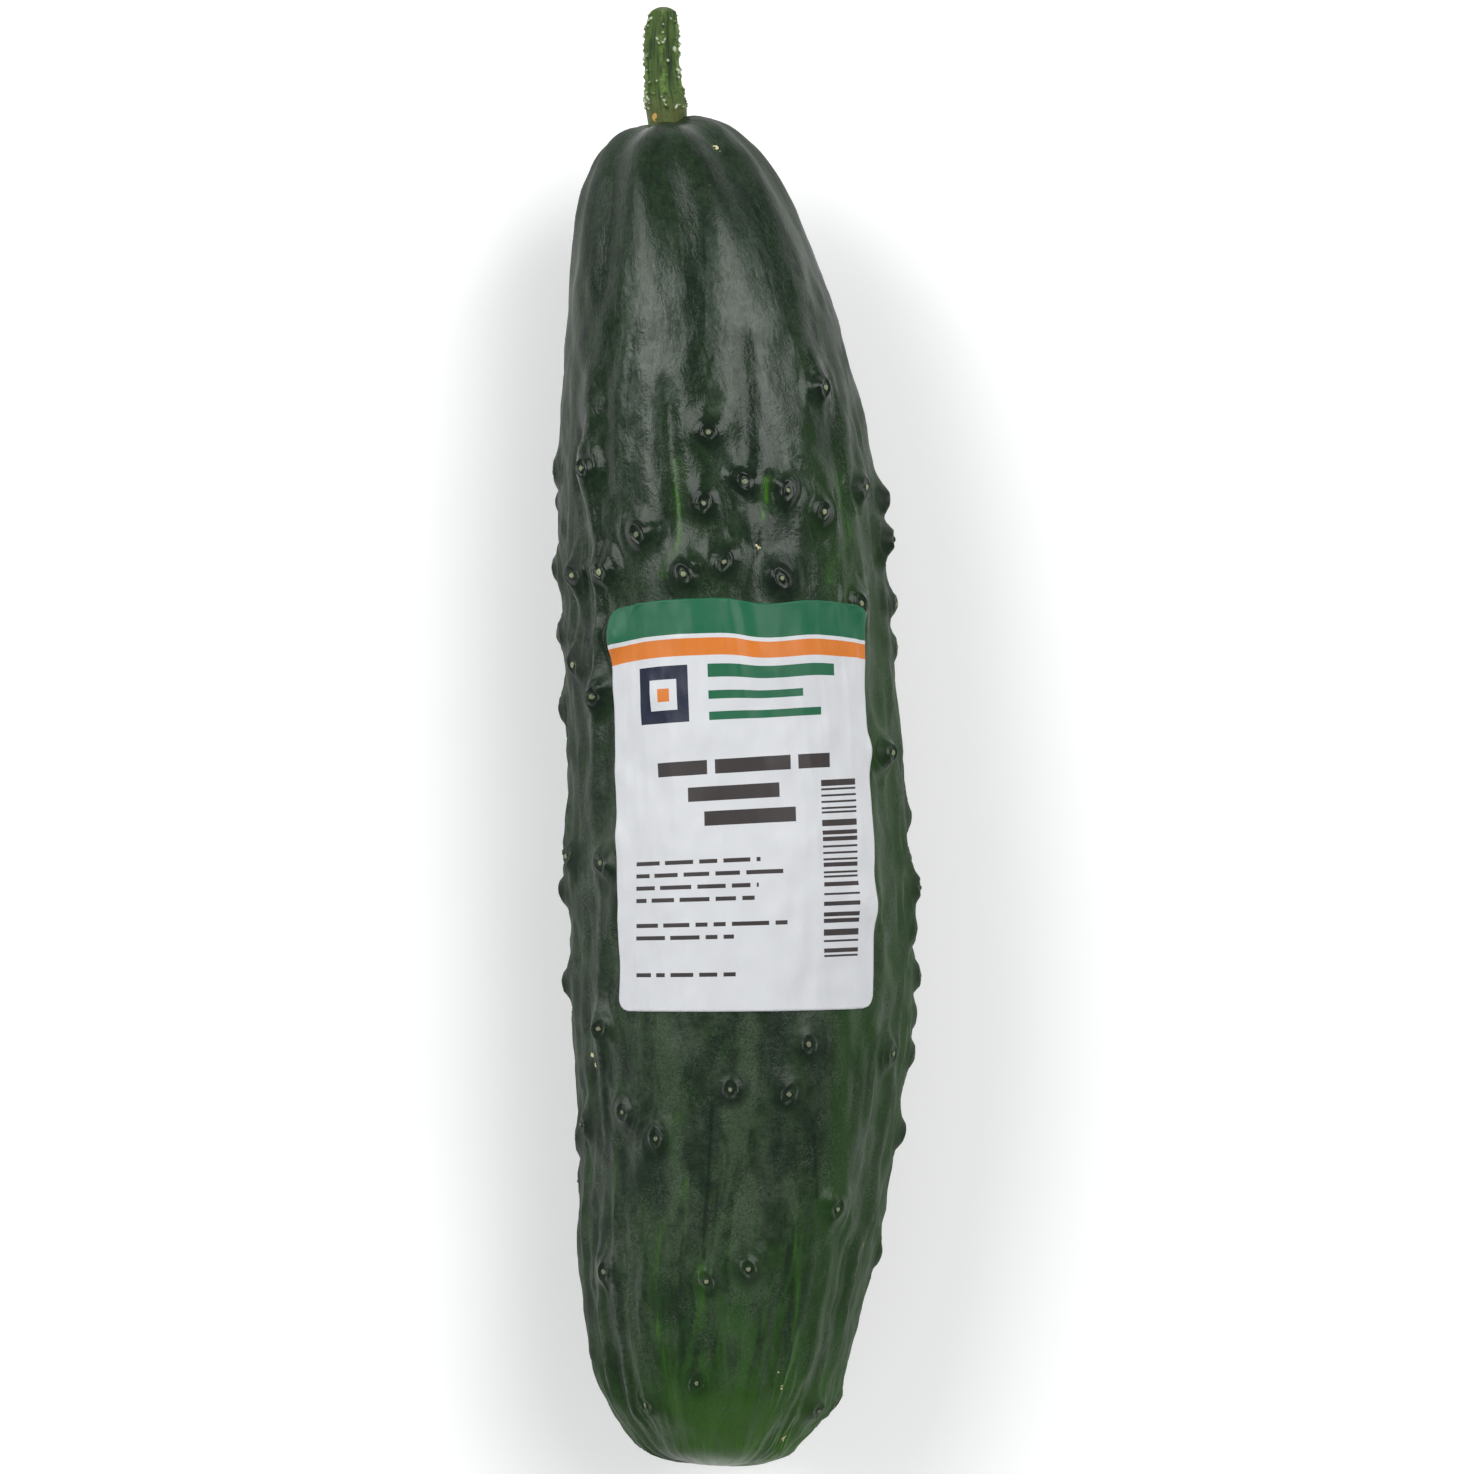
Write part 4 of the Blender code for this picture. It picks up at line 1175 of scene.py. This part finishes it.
def smooth_grid(values, rounds):
    """Average each number of a grid with its neighbours, a few times."""
    for _ in range(rounds):
        padded = np.pad(values, 1, mode="edge")
        cross = padded[:-2, 1:-1] + padded[2:, 1:-1] + padded[1:-1, :-2] + padded[1:-1, 2:]
        values = values / 2 + cross / 8
    return values


def small_print():
    """Rows of short plain bars that stand in for small print, by a seeded draw."""
    draw = random.Random(PRINT_SEED)
    bars = []
    for row in SMALL_PRINT_ROWS_MM:
        left = SMALL_PRINT_LEFT_MM
        last = draw.uniform(*ROW_FILLS) * (SMALL_PRINT_RIGHT_MM - left) + left
        while left < last:
            right = min(left + draw.uniform(*WORD_MM), last)
            bars.append((left, row, right, row + SMALL_PRINT_HEIGHT_MM, "text"))
            left = right + WORD_GAP_MM
    return bars


def stock_bars():
    """A plain ladder of thick and thin bars, by a seeded draw."""
    draw = random.Random(PRINT_SEED)
    left, low, right, high = BARS_MM
    bars = []
    while low < high:
        top = low + draw.choice(BAR_STEPS) * BAR_STEP_MM
        bars.append((left, low, right, top, "text"))
        low = top + draw.choice(BAR_STEPS) * BAR_STEP_MM
    return bars


def print_label(mesh, across, along, faces):
    """Give each small face of the film the ink that is printed on it."""
    x = across.ravel()[faces].mean(axis=1) / MM
    y = along.ravel()[faces].mean(axis=1) / MM
    names = list(INKS)
    ink_of_face = np.zeros(len(faces), dtype=np.int32)
    for left, bottom, right, top, ink in (*PRINT_MM, *small_print(), *stock_bars()):
        inside = (x > left) & (x < right) & (y > bottom) & (y < top)
        ink_of_face[inside] = names.index(ink)
    mesh.polygons.foreach_set("material_index", ink_of_face)


def grid_faces(rows, columns):
    """The corners of each face of a grid, by rows."""
    corners = np.arange((rows + 1) * (columns + 1)).reshape(rows + 1, columns + 1)
    around = [corners[:-1, :-1], corners[:-1, 1:], corners[1:, 1:], corners[1:, :-1]]
    return np.stack(around, axis=-1).reshape(-1, 4)


def build_label(warts, lines):
    """The film label: a thin sheet over the warty skin, with soft wrinkles and plain print."""
    columns = round(LABEL_WIDTH / LABEL_CELL)
    rows = round(LABEL_HEIGHT / LABEL_CELL)
    across, along = np.meshgrid(
        np.linspace(-LABEL_WIDTH / 2, LABEL_WIDTH / 2, columns + 1),
        np.linspace(-LABEL_HEIGHT / 2, LABEL_HEIGHT / 2, rows + 1),
    )
    surface = Surface(*label_place(across.ravel(), along.ravel()))
    relief = fine_relief(surface, warts, lines).reshape(across.shape)
    lift = np.maximum(smooth_grid(relief, LABEL_SMOOTHING), relief) + LABEL_GAP
    lift = smooth_grid(lift, LABEL_LAST_SMOOTHING) + wrinkle_height(across, along)
    points = surface.points + surface.outward * lift.ravel()[:, None]
    faces = grid_faces(rows, columns)
    mesh = bpy.data.meshes.new("cucumber_label")
    mesh.from_pydata(points.tolist(), [], faces.tolist())
    mesh.shade_smooth()
    label = new_piece("cucumber_label", mesh, *[ink_material(ink) for ink in INKS])
    print_label(mesh, across, along, faces)
    film = label.modifiers.new("thickness", "SOLIDIFY")
    film.thickness = LABEL_THICKNESS
    film.offset = 1
    return label


class Paint:
    """Makes the nodes of one material. Each named source is made once."""

    def __init__(self, name, sources):
        """Start a material with one Principled shader."""
        self.material = bpy.data.materials.new(name)
        self.material.use_nodes = True
        self.tree = self.material.node_tree
        self.shader = self.tree.nodes["Principled BSDF"]
        self.sources = sources
        self.made = {}

    def node(self, kind, inputs, output=0, **settings):
        """Output of a new node, whose inputs are numbers or other nodes' outputs."""
        node = self.tree.nodes.new(kind)
        for name, value in settings.items():
            setattr(node, name, value)
        for key, value in inputs.items():
            if isinstance(value, bpy.types.NodeSocket):
                self.tree.links.new(value, node.inputs[key])
            else:
                node.inputs[key].default_value = value
        return node.outputs[output]

    def joined(self, operation, sources):
        """Sum or product of some sources."""
        result, *others = [self.value(source) for source in sources]
        for other in others:
            result = self.node("ShaderNodeMath", {0: result, 1: other}, operation=operation)
        return result

    def stored(self, name, output="Fac"):
        """A number that is stored on the vertices, or a vector."""
        return self.node("ShaderNodeAttribute", {}, output, attribute_name=name)

    def noise(self, places, scale, detail, distortion):
        """Noise from 0 to 1 at the places, with a scale for each of their three numbers."""
        vector = self.node("ShaderNodeMapping", {"Vector": places, "Scale": scale})
        inputs = {"Vector": vector, "Scale": 1.0, "Detail": detail, "Distortion": distortion}
        return self.node("ShaderNodeTexNoise", inputs, "Fac")

    def named(self, name):
        """What a name stands for in this material."""
        if name in self.sources:
            return self.value(self.sources[name])
        if name in PLACE_PARTS:
            place = {0: self.stored("place", "Vector")}
            return self.node("ShaderNodeSeparateXYZ", place, PLACE_PARTS.index(name))
        return self.stored(name)

    def value(self, source):
        """The output or plain number that a source stands for."""
        if isinstance(source, str):
            if source not in self.made:
                self.made[source] = self.named(source)
            return self.made[source]
        if isinstance(source, list):
            return self.joined("ADD", source)
        if isinstance(source, Product):
            return self.joined("MULTIPLY", source)
        if isinstance(source, Ramp):
            inputs = {0: self.value(source.source), **dict(enumerate(source[1:], 1))}
            return self.node("ShaderNodeMapRange", inputs, interpolation_type="SMOOTHSTEP")
        if isinstance(source, Grown):
            scale = (source.around, source.around, source.along)
            places = self.stored("place", "Vector")
            return self.noise(places, scale, source.detail, source.distortion)
        if isinstance(source, Grain):
            places = self.node("ShaderNodeTexCoord", {}, "Object")
            return self.noise(places, (source.scale,) * 3, source.detail, source.distortion)
        return source

    def painted(self, base, layers):
        """Colour of a base with its layers over it."""
        colour = (*base, 1)
        for top, *factors in layers:
            share = self.joined("MULTIPLY", factors)
            has_layers = isinstance(top[0], tuple)
            over = self.painted(*top) if has_layers else (*top, 1)
            inputs = {0: share, 6: colour, 7: over}
            colour = self.node("ShaderNodeMix", inputs, 2, data_type="RGBA")
        return colour


def look_material(name, look):
    """The material that a look describes."""
    paint = Paint(name, look.sources)
    inputs = {"Height": paint.value(look.relief), "Distance": look.bump, "Strength": 1.0}
    outputs = {
        "Base Color": paint.painted(look.base, look.layers),
        "Roughness": paint.value(look.roughness),
        "Normal": paint.node("ShaderNodeBump", inputs),
    }
    for socket, output in outputs.items():
        paint.tree.links.new(output, paint.shader.inputs[socket])
    paint.shader.inputs["IOR"].default_value = look.ior
    return paint.material


def ink_material(ink):
    """Satin film, bare or printed, with faint mottling."""
    colour, roughness = INKS[ink]
    worn = tuple(channel * WORN_SHARE + WORN_GREY for channel in colour)
    rough = Ramp("mottle", *INK_MOTTLE, *(roughness + change for change in INK_SWAY))
    look = Look(colour, ((worn, "wear"),), INK_SOURCES, rough, "grain", INK_BUMP, INK_IOR)
    return look_material("label_" + ink, look)


def add_floor():
    """Plain pale floor."""
    mesh = bpy.data.meshes.new("floor")
    half = FLOOR_SIZE / 2
    corners = [(-half, -half, 0), (half, -half, 0), (half, half, 0), (-half, half, 0)]
    mesh.from_pydata(corners, [], [(0, 1, 2, 3)])
    paint = Paint("floor", {})
    paint.shader.inputs["Base Color"].default_value = (FLOOR_WHITE, FLOOR_WHITE, FLOOR_WHITE, 1)
    paint.shader.inputs["Roughness"].default_value = FLOOR_ROUGHNESS
    paint.shader.inputs["Emission Color"].default_value = (1, 1, 1, 1)
    paint.shader.inputs["Emission Strength"].default_value = FLOOR_GLOW
    new_piece("floor", mesh, paint.material)


def add_softbox(tilt, width, power):
    """A broad softbox beside the fruit, towards its stem end, tilted from straight above."""
    light = bpy.data.lights.new("softbox", "AREA")
    light.shape = "RECTANGLE"
    light.size = 2 * LIGHT_DISTANCE * math.tan(math.radians(LIGHT_SPREAD / 2))
    light.size_y = 2 * LIGHT_DISTANCE * math.tan(math.radians(width / 2))
    light.energy = power * light.size * light.size_y
    box = bpy.data.objects.new("softbox", light)
    turn = math.radians(tilt)
    lean = math.radians(LIGHT_LEAN)
    sideways = math.sin(turn) * math.cos(lean)
    upwards = math.cos(turn) * math.cos(lean)
    towards = Vector((sideways, math.sin(lean), upwards))
    box.location = towards * LIGHT_DISTANCE
    box.rotation_euler = towards.to_track_quat("Z", "Y").to_euler()
    bpy.context.scene.collection.objects.link(box)


def set_world():
    """Dim, even surroundings."""
    world = bpy.data.worlds.new("studio")
    world.use_nodes = True
    world.node_tree.nodes["Background"].inputs["Color"].default_value = (*ROOM_GREY, 1)
    bpy.context.scene.world = world


def add_camera():
    """Long lens straight above the fruit, with its stem end at the top of the picture."""
    camera = bpy.data.cameras.new("camera")
    camera.sensor_width = SENSOR
    camera.lens = SENSOR * CAMERA_DISTANCE / FRAME_WIDTH
    camera.clip_end = VIEW_END
    view = bpy.data.objects.new("camera", camera)
    view.location = (0, 0, FOCUS_HEIGHT + CAMERA_DISTANCE)
    bpy.context.scene.collection.objects.link(view)
    bpy.context.scene.camera = view


def build_scene():
    """Build the pieces over their CAD nodes, and the studio round them."""
    warts = all_warts()
    lines = all_lines()
    pieces = (
        (build_fruit(warts, lines), "fruit", "skin"),
        (build_stem(), "stem", "stalk"),
        (build_label(warts, lines), "label", "film"),
    )
    for piece, node, slot in pieces:
        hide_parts(node)
        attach(piece, "root")
    add_floor()
    for softbox in SOFTBOXES:
        add_softbox(*softbox)
    set_world()
    add_camera()
    bpy.context.scene.view_settings.view_transform = "Standard"


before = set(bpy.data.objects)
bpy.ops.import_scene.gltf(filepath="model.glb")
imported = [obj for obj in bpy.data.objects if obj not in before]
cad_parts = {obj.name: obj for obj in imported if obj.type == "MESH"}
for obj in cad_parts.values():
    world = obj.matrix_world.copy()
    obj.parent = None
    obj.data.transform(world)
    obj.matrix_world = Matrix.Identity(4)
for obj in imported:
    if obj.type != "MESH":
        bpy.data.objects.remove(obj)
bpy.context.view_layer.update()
build_scene()
